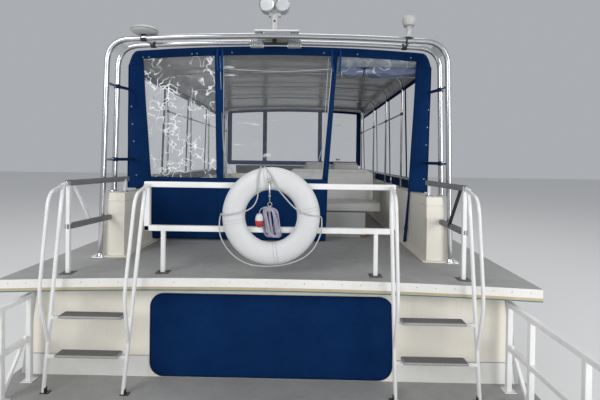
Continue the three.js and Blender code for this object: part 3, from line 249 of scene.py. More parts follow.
def streaks(tree, vector):
    drawn = place_node(
        tree, "ShaderNodeVectorMath", {0: vector, 1: (1.0, 1.0, 0.06)}, operation="MULTIPLY")
    return ramp(tree, noise(tree, drawn.outputs[0], 1.0, 4.0, 0.6), 0.52, 0.78)


def weave(tree, vector):
    """Two sets of threads that cross, on a face turned any way."""
    threads = []
    for turn in ((1.0, 1.0, 1.0), (-1.0, 1.0, 1.0)):
        turned_round = place_node(tree, "ShaderNodeVectorMath", {0: vector, 1: turn}, operation="MULTIPLY")
        wave = place_node(
            tree, "ShaderNodeTexWave", {"Vector": turned_round.outputs[0], "Scale": 1.0},
            wave_type="BANDS", bands_direction="DIAGONAL")
        threads.append(wave.outputs["Fac"])
    return math_node(tree, "MULTIPLY", *threads)


def crease_highlights(tree, vector):
    """Painted highlights along sharp folds, as in stiff clear vinyl where it catches the light."""
    bent = place_node(tree, "ShaderNodeTexNoise", {"Vector": vector, "Scale": 0.7, "Detail": 1.0})
    moved = place_node(tree, "ShaderNodeVectorMath", {0: vector, 1: bent.outputs["Color"]}, operation="ADD")
    field = noise(tree, moved.outputs[0], 1.0, 1.5, 0.45)
    fold = math_node(tree, "ABSOLUTE", math_node(tree, "SUBTRACT", field, 0.5))
    broken = ramp(tree, noise(tree, vector, 0.30, 2.0), 0.36, 0.56)
    return math_node(tree, "MULTIPLY", ramp(tree, fold, 0.048, 0.0), broken)


def glints(tree, vector):
    """Small bright flashes in level rows, as where taut clear vinyl mirrors a light."""
    drawn = place_node(
        tree, "ShaderNodeVectorMath", {0: vector, 1: (0.35, 1.0, 2.6)}, operation="MULTIPLY")
    flash = ramp(tree, noise(tree, drawn.outputs[0], 1.0, 3.0, 0.6), 0.60, 0.70)
    group = ramp(tree, noise(tree, vector, 0.28, 1.0), 0.48, 0.62)
    return math_node(tree, "MULTIPLY", flash, group)


def brushed(tree, vector):
    drawn = place_node(
        tree, "ShaderNodeVectorMath", {0: vector, 1: (1.0, 0.05, 1.0)}, operation="MULTIPLY")
    return ramp(tree, noise(tree, drawn.outputs[0], 1.0, 3.0), 0.3, 0.7)


def strands(tree, vector):
    wave = place_node(
        tree, "ShaderNodeTexWave", {"Vector": vector, "Scale": 1.0, "Distortion": 0.6},
        wave_type="BANDS", bands_direction="DIAGONAL")
    return wave.outputs["Fac"]


EFFECTS = {}


def make_effects():
    for pattern in (clouds, grain, speckle, streaks, weave, crease_highlights, glints, brushed, strands):
        EFFECTS[pattern.__name__] = effect_group("houseboat_" + pattern.__name__, pattern)


def finish_material(name, colour, roughness, layers, spread=0.0, metallic=0.0, coat=0.0,
                    alpha=None, sheen=0.0, specular=0.5, lining=None):
    """A Principled material whose colour and relief pass through effect layers.

    Each layer is an effect, its scale per metre, its amount, its tint and its height in metres.
    alpha is the least and the greatest opacity, by the first layer's mask. lining is the back's colour.
    """
    material = bpy.data.materials.get(name) or bpy.data.materials.new(name)
    material.use_nodes = True
    tree = material.node_tree
    tree.nodes.clear()
    shader = tree.nodes.new("ShaderNodeBsdfPrincipled")
    end = tree.nodes.new("ShaderNodeOutputMaterial")
    tree.links.new(shader.outputs["BSDF"], end.inputs["Surface"])
    vector = tree.nodes.new("ShaderNodeTexCoord").outputs["Object"]
    base = (*tuple(colour)[:3], 1.0)
    shader.inputs["Roughness"].default_value = roughness
    shader.inputs["Metallic"].default_value = metallic
    shader.inputs["Coat Weight"].default_value = coat
    shader.inputs["Coat Roughness"].default_value = 0.12
    shader.inputs["Specular IOR Level"].default_value = specular
    shader.inputs["Sheen Weight"].default_value = sheen
    painted = base
    normal = None
    first = None
    for effect, scale, amount, tint, height in layers:
        layer = place_node(
            tree, "ShaderNodeGroup",
            {"Vector": vector, "Color": painted, "Tint": (*tint, 1.0), "Scale": scale, "Amount": amount},
            node_tree=EFFECTS[effect])
        painted = layer.outputs["Color"]
        first = first or layer.outputs["Height"]
        if height:
            bump = place_node(
                tree, "ShaderNodeBump",
                {"Height": layer.outputs["Height"], "Distance": height, "Strength": 1.0})
            if normal:
                tree.links.new(normal, bump.inputs["Normal"])
            normal = bump.outputs["Normal"]
    if lining:
        back = place_node(tree, "ShaderNodeNewGeometry").outputs["Backfacing"]
        mixed = place_node(tree, "ShaderNodeMix", {0: back, 6: painted, 7: (*lining, 1.0)}, data_type="RGBA")
        painted = mixed.outputs[2]
    if isinstance(painted, bpy.types.NodeSocket):
        tree.links.new(painted, shader.inputs["Base Color"])
    if normal:
        tree.links.new(normal, shader.inputs["Normal"])
    if spread:
        tree.links.new(ramp(tree, first, 0.0, 1.0, roughness, roughness + spread), shader.inputs["Roughness"])
    if alpha:
        tree.links.new(ramp(tree, first, 0.0, 1.0, *alpha), shader.inputs["Alpha"])
    return material


DIRT = (0.16, 0.13, 0.09)
STEEL = (0.58, 0.59, 0.60)


def make_materials():
    """Every finish on the houseboat, by the slot or trim that wears it."""
    tint = colours()
    make_effects()
    finish_material("hull_gelcoat", tint.gelcoat, 0.28, (
        ("clouds", 1.1, 0.25, (0.60, 0.58, 0.50), 0.0),
        ("streaks", 9.0, 0.35, (0.36, 0.32, 0.24), 0.0),
        ("grain", 60.0, 0.08, DIRT, 0.0003)), spread=0.15, coat=0.5)
    finish_material("cream_gelcoat", tint.cream, 0.38, (
        ("clouds", 2.2, 0.30, (0.72, 0.69, 0.61), 0.0),
        ("streaks", 12.0, 0.20, (0.55, 0.50, 0.40), 0.0),
        ("grain", 90.0, 0.10, (0.50, 0.45, 0.36), 0.0004)), spread=0.2, coat=0.25)
    finish_material("deck_grip", tint.deck, 0.72, (
        ("clouds", 1.6, 0.45, (0.46, 0.46, 0.45), 0.0),
        ("speckle", 260.0, 0.25, (0.17, 0.17, 0.17), 0.0012),
        ("grain", 7.0, 0.18, (0.15, 0.14, 0.12), 0.0)), spread=0.15)
    finish_material("edge_speckle", (0.80, 0.79, 0.76), 0.6, (
        ("speckle", 170.0, 0.30, (0.40, 0.40, 0.40), 0.0010),
        ("clouds", 4.0, 0.25, (0.62, 0.61, 0.59), 0.0)))
    finish_material("joint_line", (0.26, 0.26, 0.255), 0.6, (
        ("grain", 60.0, 0.3, (0.16, 0.155, 0.15), 0.0),))
    # Dark grey of the side rails' bars, in part painted shade that falls on them.
    finish_material("rail_grey", (0.145, 0.148, 0.152), 0.45, (
        ("clouds", 6.0, 0.35, (0.21, 0.21, 0.21), 0.0),
        ("grain", 110.0, 0.12, (0.30, 0.30, 0.30), 0.0002)), coat=0.15)
    finish_material("foot_grey", (0.055, 0.055, 0.058), 0.55, (
        ("clouds", 12.0, 0.35, (0.10, 0.10, 0.10), 0.0),
        ("grain", 120.0, 0.2, (0.16, 0.15, 0.14), 0.0003)))
    finish_material("tread_grip", (0.120, 0.118, 0.115), 0.7, (
        ("grain", 160.0, 0.35, (0.19, 0.185, 0.18), 0.0005),))
    finish_material("tread_edge", (0.34, 0.33, 0.32), 0.5, (
        ("grain", 90.0, 0.3, (0.15, 0.145, 0.14), 0.0003),
        ("clouds", 8.0, 0.3, (0.32, 0.31, 0.30), 0.0)))
    finish_material("gusset_paint", (0.84, 0.845, 0.84), 0.35, (
        ("clouds", 8.0, 0.25, (0.70, 0.70, 0.70), 0.0),
        ("grain", 120.0, 0.06, DIRT, 0.0002)), coat=0.3)
    finish_material("grip_band", (0.60, 0.59, 0.56), 0.6, (
        ("speckle", 190.0, 0.55, (0.24, 0.23, 0.21), 0.0012),
        ("clouds", 4.0, 0.25, (0.42, 0.40, 0.36), 0.0)))
    finish_material("white_tube", tint.tube, 0.30, (
        ("clouds", 5.0, 0.22, (0.55, 0.56, 0.57), 0.0),
        ("streaks", 16.0, 0.16, (0.34, 0.31, 0.27), 0.0),
        ("grain", 120.0, 0.05, DIRT, 0.0002)), spread=0.15, coat=0.35)
    finish_material("stainless", STEEL, 0.14, (
        ("clouds", 3.0, 0.30, (0.46, 0.47, 0.48), 0.0),
        ("grain", 18.0, 0.06, (0.40, 0.40, 0.40), 0.0)), spread=0.06, metallic=0.9)
    finish_material("blue_canvas", tint.canvas, 0.85, (
        ("weave", 900.0, 0.35, (0.003, 0.034, 0.120), 0.0004),
        ("clouds", 2.4, 0.35, (0.0006, 0.011, 0.052), 0.004),
        ("grain", 14.0, 0.10, (0.02, 0.055, 0.14), 0.0)), specular=0.08)
    finish_material("canopy_canvas", tint.canvas, 0.85, (
        ("weave", 900.0, 0.35, (0.003, 0.034, 0.120), 0.0004),
        ("clouds", 2.4, 0.35, (0.0006, 0.011, 0.052), 0.004)), specular=0.08)
    finish_material("strap_blue", (0.006, 0.050, 0.190), 0.7, (
        ("weave", 1100.0, 0.4, (0.012, 0.085, 0.28), 0.0003),
        ("clouds", 8.0, 0.3, (0.003, 0.03, 0.12), 0.0)), specular=0.1)
    finish_material("zip_tape", (0.42, 0.45, 0.48), 0.45, (
        ("grain", 900.0, 0.4, (0.20, 0.22, 0.25), 0.0003),
        ("clouds", 10.0, 0.3, (0.30, 0.33, 0.37), 0.0)))
    finish_material("canopy_lining", (0.125, 0.130, 0.135), 0.30, (
        ("clouds", 3.0, 0.5, (0.075, 0.078, 0.082), 0.010),
        ("weave", 700.0, 0.2, (0.20, 0.205, 0.21), 0.0003)), coat=0.3)
    finish_material("clear_vinyl", (0.82, 0.85, 0.88), 0.10, (
        ("glints", 7.0, 0.5, (1.0, 1.0, 1.0), 0.001),
        ("clouds", 1.7, 0.4, (0.75, 0.78, 0.82), 0.006)), alpha=(0.06, 0.55))
    # The port window's white crinkles are painted highlights, and the vinyl is made more opaque along them.
    finish_material("creased_vinyl", (0.86, 0.88, 0.90), 0.10, (
        ("crease_highlights", 11.0, 0.6, (1.0, 1.0, 1.0), 0.002),
        ("clouds", 3.1, 0.4, (0.75, 0.78, 0.82), 0.008)), alpha=(0.12, 0.85))
    finish_material("binding", (0.004, 0.016, 0.060), 0.7, (
        ("weave", 1200.0, 0.4, (0.01, 0.04, 0.12), 0.0003),), specular=0.1)
    finish_material("cream_vinyl", tint.cushion, 0.42, (
        ("grain", 420.0, 0.18, (0.38, 0.38, 0.37), 0.0005),
        ("clouds", 3.0, 0.30, (0.40, 0.40, 0.385), 0.002)), spread=0.1, coat=0.08)
    finish_material("tinted_glass", (0.025, 0.030, 0.034), 0.05, (
        ("clouds", 1.2, 0.25, (0.05, 0.06, 0.065), 0.001),
        ("streaks", 14.0, 0.10, (0.20, 0.20, 0.19), 0.0)), spread=0.08, coat=0.6, alpha=(0.62, 0.80))
    finish_material("white_plastic", (0.46, 0.465, 0.46), 0.38, (
        ("clouds", 6.0, 0.25, (0.36, 0.36, 0.35), 0.0),
        ("grain", 160.0, 0.08, DIRT, 0.0002)), spread=0.12, coat=0.15)
    finish_material("black_plastic", (0.018, 0.018, 0.020), 0.5, (
        ("grain", 300.0, 0.3, (0.045, 0.045, 0.047), 0.0004),))
    finish_material("bronze", (0.42, 0.27, 0.10), 0.34, (
        ("clouds", 12.0, 0.5, (0.16, 0.17, 0.11), 0.0),
        ("grain", 90.0, 0.25, (0.12, 0.08, 0.04), 0.0006)), spread=0.25, metallic=0.9)
    finish_material("engine_iron", (0.10, 0.13, 0.12), 0.55, (
        ("clouds", 7.0, 0.4, (0.16, 0.10, 0.06), 0.0),
        ("grain", 70.0, 0.3, (0.05, 0.05, 0.05), 0.0008)), metallic=0.3)
    finish_material("rope", tint.rope, 0.85, (
        ("strands", 240.0, 0.45, (0.22, 0.21, 0.29), 0.0010),
        ("clouds", 30.0, 0.3, (0.60, 0.58, 0.68), 0.0)))
    finish_material("grab_cord", (0.52, 0.52, 0.50), 0.8, (
        ("strands", 420.0, 0.4, (0.30, 0.30, 0.29), 0.0006),
        ("clouds", 20.0, 0.3, (0.35, 0.34, 0.31), 0.0)))
    finish_material("ring_skin", tint.ring, 0.42, (
        ("clouds", 4.5, 0.35, (0.56, 0.57, 0.59), 0.0015),
        ("grain", 110.0, 0.12, (0.50, 0.50, 0.48), 0.0004)), spread=0.12, coat=0.1)
    finish_material("red_float", (0.42, 0.010, 0.015), 0.35, (
        ("clouds", 40.0, 0.25, (0.30, 0.01, 0.01), 0.0),
        ("grain", 200.0, 0.1, (0.6, 0.2, 0.2), 0.0003)), coat=0.3)
    finish_material("brass_strip", (0.52, 0.42, 0.26), 0.42, (
        ("clouds", 3.0, 0.45, (0.34, 0.29, 0.20), 0.0),
        ("brushed", 40.0, 0.2, (0.62, 0.54, 0.38), 0.0)), metallic=0.35)
    finish_material("teal_line", (0.02, 0.16, 0.19), 0.5, (
        ("clouds", 5.0, 0.4, (0.03, 0.10, 0.12), 0.0),))
    finish_material("hull_stripe", (0.012, 0.040, 0.110), 0.25, (
        ("streaks", 9.0, 0.3, (0.10, 0.11, 0.12), 0.0),), coat=0.5)
    finish_material("antifouling", (0.010, 0.030, 0.075), 0.75, (
        ("clouds", 2.5, 0.4, (0.03, 0.06, 0.09), 0.0),
        ("grain", 40.0, 0.3, (0.05, 0.07, 0.08), 0.001)))
    finish_material("dark_gap", (0.012, 0.012, 0.012), 0.8, (
        ("grain", 60.0, 0.3, (0.03, 0.03, 0.03), 0.0),))
    finish_material("gauge_face", (0.015, 0.015, 0.016), 0.2, (
        ("grain", 200.0, 0.2, (0.05, 0.05, 0.05), 0.0),), coat=0.6)
    finish_material("lamp_glass", (0.45, 0.47, 0.48), 0.08, (
        ("brushed", 160.0, 0.5, (0.75, 0.76, 0.76), 0.0006),), metallic=0.6)
    # The pale crease lines on the rolled vinyl are painted highlights.
    finish_material("clear_vinyl_roll", (0.10, 0.13, 0.20), 0.18, (
        ("crease_highlights", 9.0, 0.8, (0.55, 0.60, 0.66), 0.004),
        ("clouds", 5.0, 0.5, (0.03, 0.05, 0.12), 0.003)), coat=0.6)
    # The pale crease lines on the grey flap are painted highlights.
    finish_material("roll_band", (0.20, 0.22, 0.25), 0.2, (
        ("clouds", 8.0, 0.5, (0.08, 0.10, 0.14), 0.002),
        ("crease_highlights", 7.0, 0.5, (0.45, 0.48, 0.52), 0.002)), coat=0.5)
    finish_material("wood", (0.24, 0.13, 0.06), 0.5, (
        ("brushed", 60.0, 0.5, (0.12, 0.06, 0.03), 0.0004),
        ("grain", 30.0, 0.3, (0.34, 0.20, 0.10), 0.0)))
    finish_material("floor_paper", (0.80, 0.80, 0.79), 0.9, (
        ("clouds", 0.05, 0.05, (0.76, 0.76, 0.75), 0.0),))


def finish(name):
    found = bpy.data.materials.get(name)
    if not found:
        raise ValueError(f"there is no finish named {name}")
    return found


# Shapes: each returns a bmesh, which a Form takes in with its finish
class Form:
    """A mesh put together from shaped parts, each with its own finish."""

    def __init__(self):
        self.mesh = bmesh.new()
        self.finishes = []

    def take(self, part, material, smooth=True, matrix=None):
        if matrix is not None:
            bmesh.ops.transform(part, matrix=matrix, verts=part.verts)
            if matrix.determinant() < 0:
                bmesh.ops.reverse_faces(part, faces=part.faces)
        if material not in self.finishes:
            self.finishes.append(material)
        for face in part.faces:
            face.material_index = self.finishes.index(material)
            face.smooth = smooth
        held = bpy.data.meshes.new("part")
        part.to_mesh(held)
        part.free()
        self.mesh.from_mesh(held)
        bpy.data.meshes.remove(held)

    def finish(self, name, body="boat", slot=None, replaces=(), weighted=True):
        mesh = bpy.data.meshes.new(name)
        self.mesh.to_mesh(mesh)
        self.mesh.free()
        for material in self.finishes:
            mesh.materials.append(finish(material))
        piece = bpy.data.objects.new(name, mesh)
        bpy.context.scene.collection.objects.link(piece)
        if weighted:
            mesh.set_sharp_from_angle(angle=math.radians(42))
            modifier = piece.modifiers.new("even shading", "WEIGHTED_NORMAL")
            modifier.keep_sharp = True
        return settle(piece, body, slot or self.finishes[0], replaces)


def settle(piece, body, slot, replaces=()):
    """The piece rides on its body and hides the CAD nodes that it stands for."""
    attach(piece, body)
    slots = [row["slot"] for row in frame["record"]["materials"]]
    slot if slot in slots else SLOT_OF.get(slot, "white_plastic")
    if replaces:
        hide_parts(*replaces)
    return piece


SLOT_OF = {
    "grip_band": "deck_grip", "canopy_canvas": "blue_canvas", "canopy_lining": "blue_canvas",
    "clear_vinyl": "tinted_glass", "binding": "blue_canvas", "grab_cord": "rope",
    "ring_skin": "white_plastic", "brass_strip": "stainless", "teal_line": "hull_gelcoat",
    "hull_stripe": "hull_gelcoat", "antifouling": "hull_gelcoat", "dark_gap": "black_plastic",
    "gauge_face": "black_plastic", "lamp_glass": "stainless", "clear_vinyl_roll": "blue_canvas",
    "roll_band": "blue_canvas", "wood": "black_plastic", "creased_vinyl": "tinted_glass",
    "strap_blue": "blue_canvas", "zip_tape": "blue_canvas", "edge_speckle": "deck_grip",
    "joint_line": "deck_grip", "tread_grip": "deck_grip", "tread_edge": "deck_grip",
    "gusset_paint": "white_tube", "rail_grey": "white_tube", "foot_grey": "white_tube",
}


def block(low, high, bevel=0.003, segments=2):
    """A box between two corners, with its edges eased."""
    part = bmesh.new()
    bmesh.ops.create_cube(part, size=1.0)
    low, high = Vector(low), Vector(high)
    bmesh.ops.scale(part, vec=high - low, verts=part.verts)
    bmesh.ops.translate(part, vec=(low + high) / 2, verts=part.verts)
    if bevel:
        bmesh.ops.bevel(part, geom=part.edges, offset=bevel, offset_type="OFFSET", segments=segments,
                        profile=0.5, affect="EDGES", material=-1)
    return part


def turn_to(direction, up=Vector((0, 0, 1))):
    """The rotation that takes Y along a direction and keeps Z as near up as it can."""
    along = Vector(direction).normalized()
    if abs(along.dot(up)) > 0.95:
        up = Vector((0, 1, 0))
    side = along.cross(up).normalized()
    top = side.cross(along)
    return Matrix((side, along, top)).transposed().to_4x4()


def bar(start, end, width, height=None, bevel=0.004):
    """A straight bar of rounded rectangular section between two points."""
    start, end = Vector(start), Vector(end)
    half = (end - start).length / 2
    height = height or width
    part = block((-width / 2, -half, -height / 2), (width / 2, half, height / 2), bevel)
    place = Matrix.Translation((start + end) / 2) @ turn_to(end - start)
    bmesh.ops.transform(part, matrix=place, verts=part.verts)
    return part


def eased(corners, bend, steps=8):
    """The corners of a bent tube, each rounded over the length called bend."""
    points = [Vector(corner) for corner in corners]
    path = [points[0]]
    for before, here, after in zip(points, points[1:], points[2:]):
        back, ahead = before - here, after - here
        reach = min(bend, back.length * 0.48, ahead.length * 0.48)
        start, end = here + back.normalized() * reach, here + ahead.normalized() * reach
        for step in range(steps + 1):
            t = step / steps
            path.append(start * (1 - t) ** 2 + here * 2 * t * (1 - t) + end * t ** 2)
    path.append(points[-1])
    return path


def curve_of(name, points, radius, sides=12, closed=False):
    """A curve of one straight-stepped spline with a round section."""
    curve = bpy.data.curves.new(name, "CURVE")
    curve.dimensions = "3D"
    curve.bevel_depth = radius
    curve.bevel_resolution = max(0, (sides - 4) // 2)
    curve.use_fill_caps = not closed
    spline = curve.splines.new("POLY")
    spline.points.add(len(points) - 1)
    for point, place in zip(spline.points, points):
        point.co = (*place, 1)
    spline.use_cyclic_u = closed
    return curve


def tube(points, radius, sides=12, closed=False):
    """A round tube along points, closed at its ends."""
    curve = curve_of("run", points, radius, sides, closed)
    holder = bpy.data.objects.new("run", curve)
    mesh = bpy.data.meshes.new_from_object(holder)
    part = bmesh.new()
    part.from_mesh(mesh)
    bmesh.ops.remove_doubles(part, verts=part.verts, dist=1e-5)
    bpy.data.meshes.remove(mesh)
    bpy.data.objects.remove(holder)
    bpy.data.curves.remove(curve)
    return part


def lathe(profile, base=(0, 0, 0), axis=(0, 0, 1), steps=32):
    """A form turned about an axis through base, from its radii and heights."""
    part = bmesh.new()
    verts = [part.verts.new((radius, 0, height)) for radius, height in profile]
    edges = [part.edges.new(pair) for pair in zip(verts, verts[1:])]
    bmesh.ops.spin(part, geom=verts + edges, cent=(0, 0, 0), axis=(0, 0, 1), angle=math.tau,
                   steps=steps, use_merge=True)
    bmesh.ops.remove_doubles(part, verts=part.verts, dist=1e-5)
    bmesh.ops.recalc_face_normals(part, faces=part.faces)
    rise = Vector((0, 0, 1)).rotation_difference(Vector(axis)).to_matrix().to_4x4()
    bmesh.ops.transform(part, matrix=Matrix.Translation(base) @ rise, verts=part.verts)
    return part


def sheet(place, across, along, thickness=0.0):
    """A grid of cloth whose points are placed by a function of u and v, from 0 to 1."""
    part = bmesh.new()
    bmesh.ops.create_grid(part, x_segments=across, y_segments=along, size=0.5)
    for vert in part.verts:
        vert.co = place(vert.co.x + 0.5, vert.co.y + 0.5)
    if thickness:
        bmesh.ops.solidify(part, geom=part.faces, thickness=thickness)
    return part


def dots(places, out, radius, height, steps=10):
    """Snaps or screw heads at places, all facing one way."""
    part = bmesh.new()
    profile = ((0, height), (radius * 0.6, height * 0.85), (radius, height * 0.2), (radius, 0))
    for place in places:
        one = lathe(profile, place, out, steps)
        held = bpy.data.meshes.new("dot")
        one.to_mesh(held)
        one.free()
        part.from_mesh(held)
        bpy.data.meshes.remove(held)
    return part


def lerp(a, b, t):
    return a + (b - a) * t


def deck_top(x):
    """Height of the crowned upper deck."""
    strip = UPPER_HALF / 5
    low = math.floor(x / strip)
    part = x / strip - low
    crown = [UPPER_Z - UPPER_CROWN * (step / 5) ** 2 for step in (low, low + 1)]
    return lerp(*crown, part)


def curtain_y(z):
    """The raked plane of the aft curtain."""
    return lerp(CURTAIN_TOP_Y, CURTAIN_FOOT_Y, (CANOPY_CREST - z) / (CANOPY_CREST - UPPER_Z))


def canopy_z(x):
    """The crowned canopy, with its sides turned down."""
    if abs(x) <= CANOPY_SHOULDER:
        return CANOPY_CREST - CANOPY_FALL * (x / CANOPY_SHOULDER) ** 2
    out = (abs(x) - CANOPY_SHOULDER) / (CANOPY_HALF - CANOPY_SHOULDER)
    return CANOPY_CREST - CANOPY_FALL - CANOPY_EDGE * out ** 2.7


def hoop_top(x):
    out = abs(x)
    beyond = max(0, out - ARCH_KNEE_X) / (ARCH_HALF - ARCH_KNEE_X)
    fall = ARCH_KNEE_FALL * min(1, out / ARCH_KNEE_X) + (ARCH_FALL - ARCH_KNEE_FALL) * beyond
    return CREST_Z + sizes().hoop - fall


def arch_x(z):
    foot = UPPER_Z - 0.060
    return lerp(ARCH_FOOT_HALF, ARCH_HALF, (z - foot) / (CREST_Z - ARCH_FALL - foot))


class PieceOperator:
    """What every operator of the houseboat shares."""

    bl_options = {"REGISTER", "UNDO"}

    def execute(self, context):
        self.make()
        return {"FINISHED"}


class HOUSEBOAT_OT_camera(PieceOperator, bpy.types.Operator):
    """Set the camera where the photograph was taken from"""

    bl_idname = "houseboat.camera"
    bl_label = "Camera"

    def make(self):
        ahead = Vector((-math.sin(YAW) * math.cos(PITCH), math.cos(YAW) * math.cos(PITCH), -math.sin(PITCH)))
        level = Vector((math.cos(YAW), math.sin(YAW), 0))
        above = level.cross(ahead)
        right = level * math.cos(ROLL) + above * math.sin(ROLL)
        up = above * math.cos(ROLL) - level * math.sin(ROLL)
        data = bpy.data.cameras.new("camera")
        data.sensor_width = SENSOR_MM
        data.lens = LENS_PX * SENSOR_MM / PHOTO_WIDTH
        data.shift_y = (HORIZON_ROW - PHOTO_HEIGHT / 2) / PHOTO_WIDTH
        data.clip_end = 400
        camera = bpy.data.objects.new("camera", data)
        bpy.context.scene.collection.objects.link(camera)
        turn = Matrix((right, up, -ahead)).transposed().to_4x4()
        camera.matrix_world = Matrix.Translation(EYE) @ turn
        bpy.context.scene.camera = camera


HOOK_X = 0.010
HOOK_Y = -5.150
HOOK_FOOT_Z = 2.424
HANK_AFT_Y = -5.0935
HANK_LAYERS = 6
HANK_TURNS = 2
HANK_POINTS = 36
HANK_HALF_WIDTH = 0.045
HANK_HALF_HEIGHT = 0.122
HANK_TOP = Vector((-0.004, 0, 2.416))
HANK_LEANS = (2, 14)
FLOAT_PLACE = Vector((-0.0737, -5.128, 2.258))
HANK_SHIFTS = (0.0, 0.030, 0.012, 0.034, -0.004, 0.0)
FLOAT_LENGTH = 0.106
FLOAT_RADIUS = 0.0325


def long_loop(turn, radius, half_height):
    """How far aside and below its top a point of a long loop with round ends lies, by its share of a turn."""
    quarter, straight = math.pi * radius / 2, 2 * (half_height - radius)
    run = turn % 1 * (4 * quarter + 2 * straight)
    if run < quarter:
        return radius * math.sin(run / radius), radius - radius * math.cos(run / radius)
    run -= quarter
    if run < straight:
        return radius, radius + run
    run -= straight
    if run < 2 * quarter:
        return radius * math.cos(run / radius), radius + straight + radius * math.sin(run / radius)
    run -= 2 * quarter
    if run < straight:
        return -radius, radius + straight - run
    run -= straight
    return -radius * math.cos(run / radius), radius - radius * math.sin(run / radius)


def hank_line(diameter):
    """The route of the throwing line: out of the hook, into long loops, and up to the float."""
    pitch = diameter * 1.04
    path = [Vector((HOOK_X, HOOK_Y, HOOK_FOOT_Z)),
            Vector((HOOK_X + 0.004, HOOK_Y + 0.010, HOOK_FOOT_Z - 0.014)),
            Vector((HOOK_X + 0.010, HANK_AFT_Y - 0.026, HOOK_FOOT_Z - 0.022)),
            Vector((HOOK_X + 0.013, HANK_AFT_Y - 0.012, HOOK_FOOT_Z - 0.018))]
    for layer in range(HANK_LAYERS):
        lean = math.radians(lerp(*HANK_LEANS, layer / (HANK_LAYERS - 1)))
        inwards = layer % 2 == 0
        onward = HANK_SHIFTS[min(layer + 1, HANK_LAYERS - 1)]
        for step in range(HANK_TURNS * HANK_POINTS):
            turn = step / HANK_POINTS
            ring_no = turn if inwards else HANK_TURNS - turn
            half_width = HANK_HALF_WIDTH - ring_no * pitch
            half_height = HANK_HALF_HEIGHT - ring_no * pitch
            late = max(0, turn - HANK_TURNS + 0.5) / 0.5
            shift = lerp(HANK_SHIFTS[layer], onward, 0.5 - 0.5 * math.cos(math.pi * late))
            side, drop = long_loop(turn, half_width, half_height)
            drop += ring_no * pitch
            depth = layer + 0.5 - 0.5 * math.cos(math.pi * max(0, turn - HANK_TURNS + 0.8) / 0.8)
            if layer == HANK_LAYERS - 1:
                depth = layer
            x = HANK_TOP.x + shift - side * math.cos(lean) + drop * math.sin(lean)
            z = HANK_TOP.z + side * math.sin(lean) * 0.4 - drop * math.cos(lean)
            path.append(Vector((x, HANK_AFT_Y - pitch * (0.5 + depth), z)))
    return path


class HOUSEBOAT_OT_line(PieceOperator, bpy.types.Operator):
    """Make the throwing line in its hank, with its tie, hook and float"""

    bl_idname = "houseboat.line"
    bl_label = "Throwing line"

    def make(self):
        diameter = sizes().line
        path = hank_line(diameter)
        head = FLOAT_PLACE + Vector((0, 0, FLOAT_LENGTH))
        rise = [Vector((-0.004, -5.1410, 2.4168)), Vector((-0.022, -5.1425, 2.4172)),
                Vector((-0.042, -5.1385, 2.4120)),
                Vector((-0.0595, -5.1335, 2.4010)), Vector((-0.0707, -5.1295, 2.3840)),
                head + Vector((0, 0, -0.004))]
        path += smooth_run(rise, 3)
        curve = curve_of("throwing_line", path, diameter / 2, 10)
        line = bpy.data.objects.new("throwing_line", curve)
        curve.materials.append(finish("rope"))
        bpy.context.scene.collection.objects.link(line)
        settle(line, "boat", "rope", ("line_hank",))
        buoy, tied = self.float_on_line(), self.tie()
        self.hook()

    def float_on_line(self):
        form = Form()
        for low, high, name in ((0.0, 0.5, "red_float"), (0.5, 1.0, "ring_skin")):
            profile = []
            for step in range(9):
                t = lerp(low, high, step / 8)
                profile.append((FLOAT_RADIUS * math.sin(math.pi * (0.06 + 0.88 * t)) ** 0.40,
                                FLOAT_LENGTH * t))
            profile = [(0, profile[0][1])] + profile if low == 0 else profile + [(0, profile[-1][1])]
            form.take(lathe(profile, FLOAT_PLACE, (0, 0, 1), 24), name)
        return form.finish("float_on_line", slot="red_float", replaces=("line_float",), weighted=False)

    def tie(self):
        """Three turns of thin cord that hold the hank near its head."""
        form = Form()
        middle = Vector((HANK_TOP.x + 0.004, HANK_AFT_Y - 0.025, HANK_TOP.z - 0.024))
        for lift in (-0.006, 0.0, 0.006):
            loop = []
            for step in range(24):
                angle = math.tau * step / 24
                loop.append(middle + Vector((0.045 * math.cos(angle), 0.0285 * math.sin(angle),
                                             lift + 0.005 * math.cos(angle))))
            form.take(tube(loop, 0.0020, 8, closed=True), "grab_cord")
        return form.finish("hank_tie", slot="rope", weighted=False)

    def hook(self):
        """The snap hook from the head of the ring down to the hank."""
        form = Form()
        foot = Vector((HOOK_X, HOOK_Y, HOOK_FOOT_Z))
        head = Vector((HOOK_X, RING.y - RING_HALF_DEPTH - 0.008, RING.z + RING_MEAN - 0.030))
        along = (head - foot).normalized()

        def ring(middle, wide, tall, radius):
            loop = [middle + Vector((wide * math.sin(math.tau * i / 20), 0, 0)) - along * tall *
                    math.cos(math.tau * i / 20) for i in range(20)]
            form.take(tube(loop, radius, 8, closed=True), "stainless")
        form.take(tube([foot + along * 0.030, head], 0.0065, 12), "stainless")
        ring(foot + along * 0.018, 0.016, 0.016, 0.0035)
        ring(head + along * 0.010, 0.012, 0.028, 0.004)
        form.take(lathe(((0, 0), (0.009, 0.002), (0.009, 0.014), (0, 0.016)), foot + along * 0.080, along,
                        16),
                  "stainless")
        form.finish("snap_hook", slot="stainless", weighted=False)


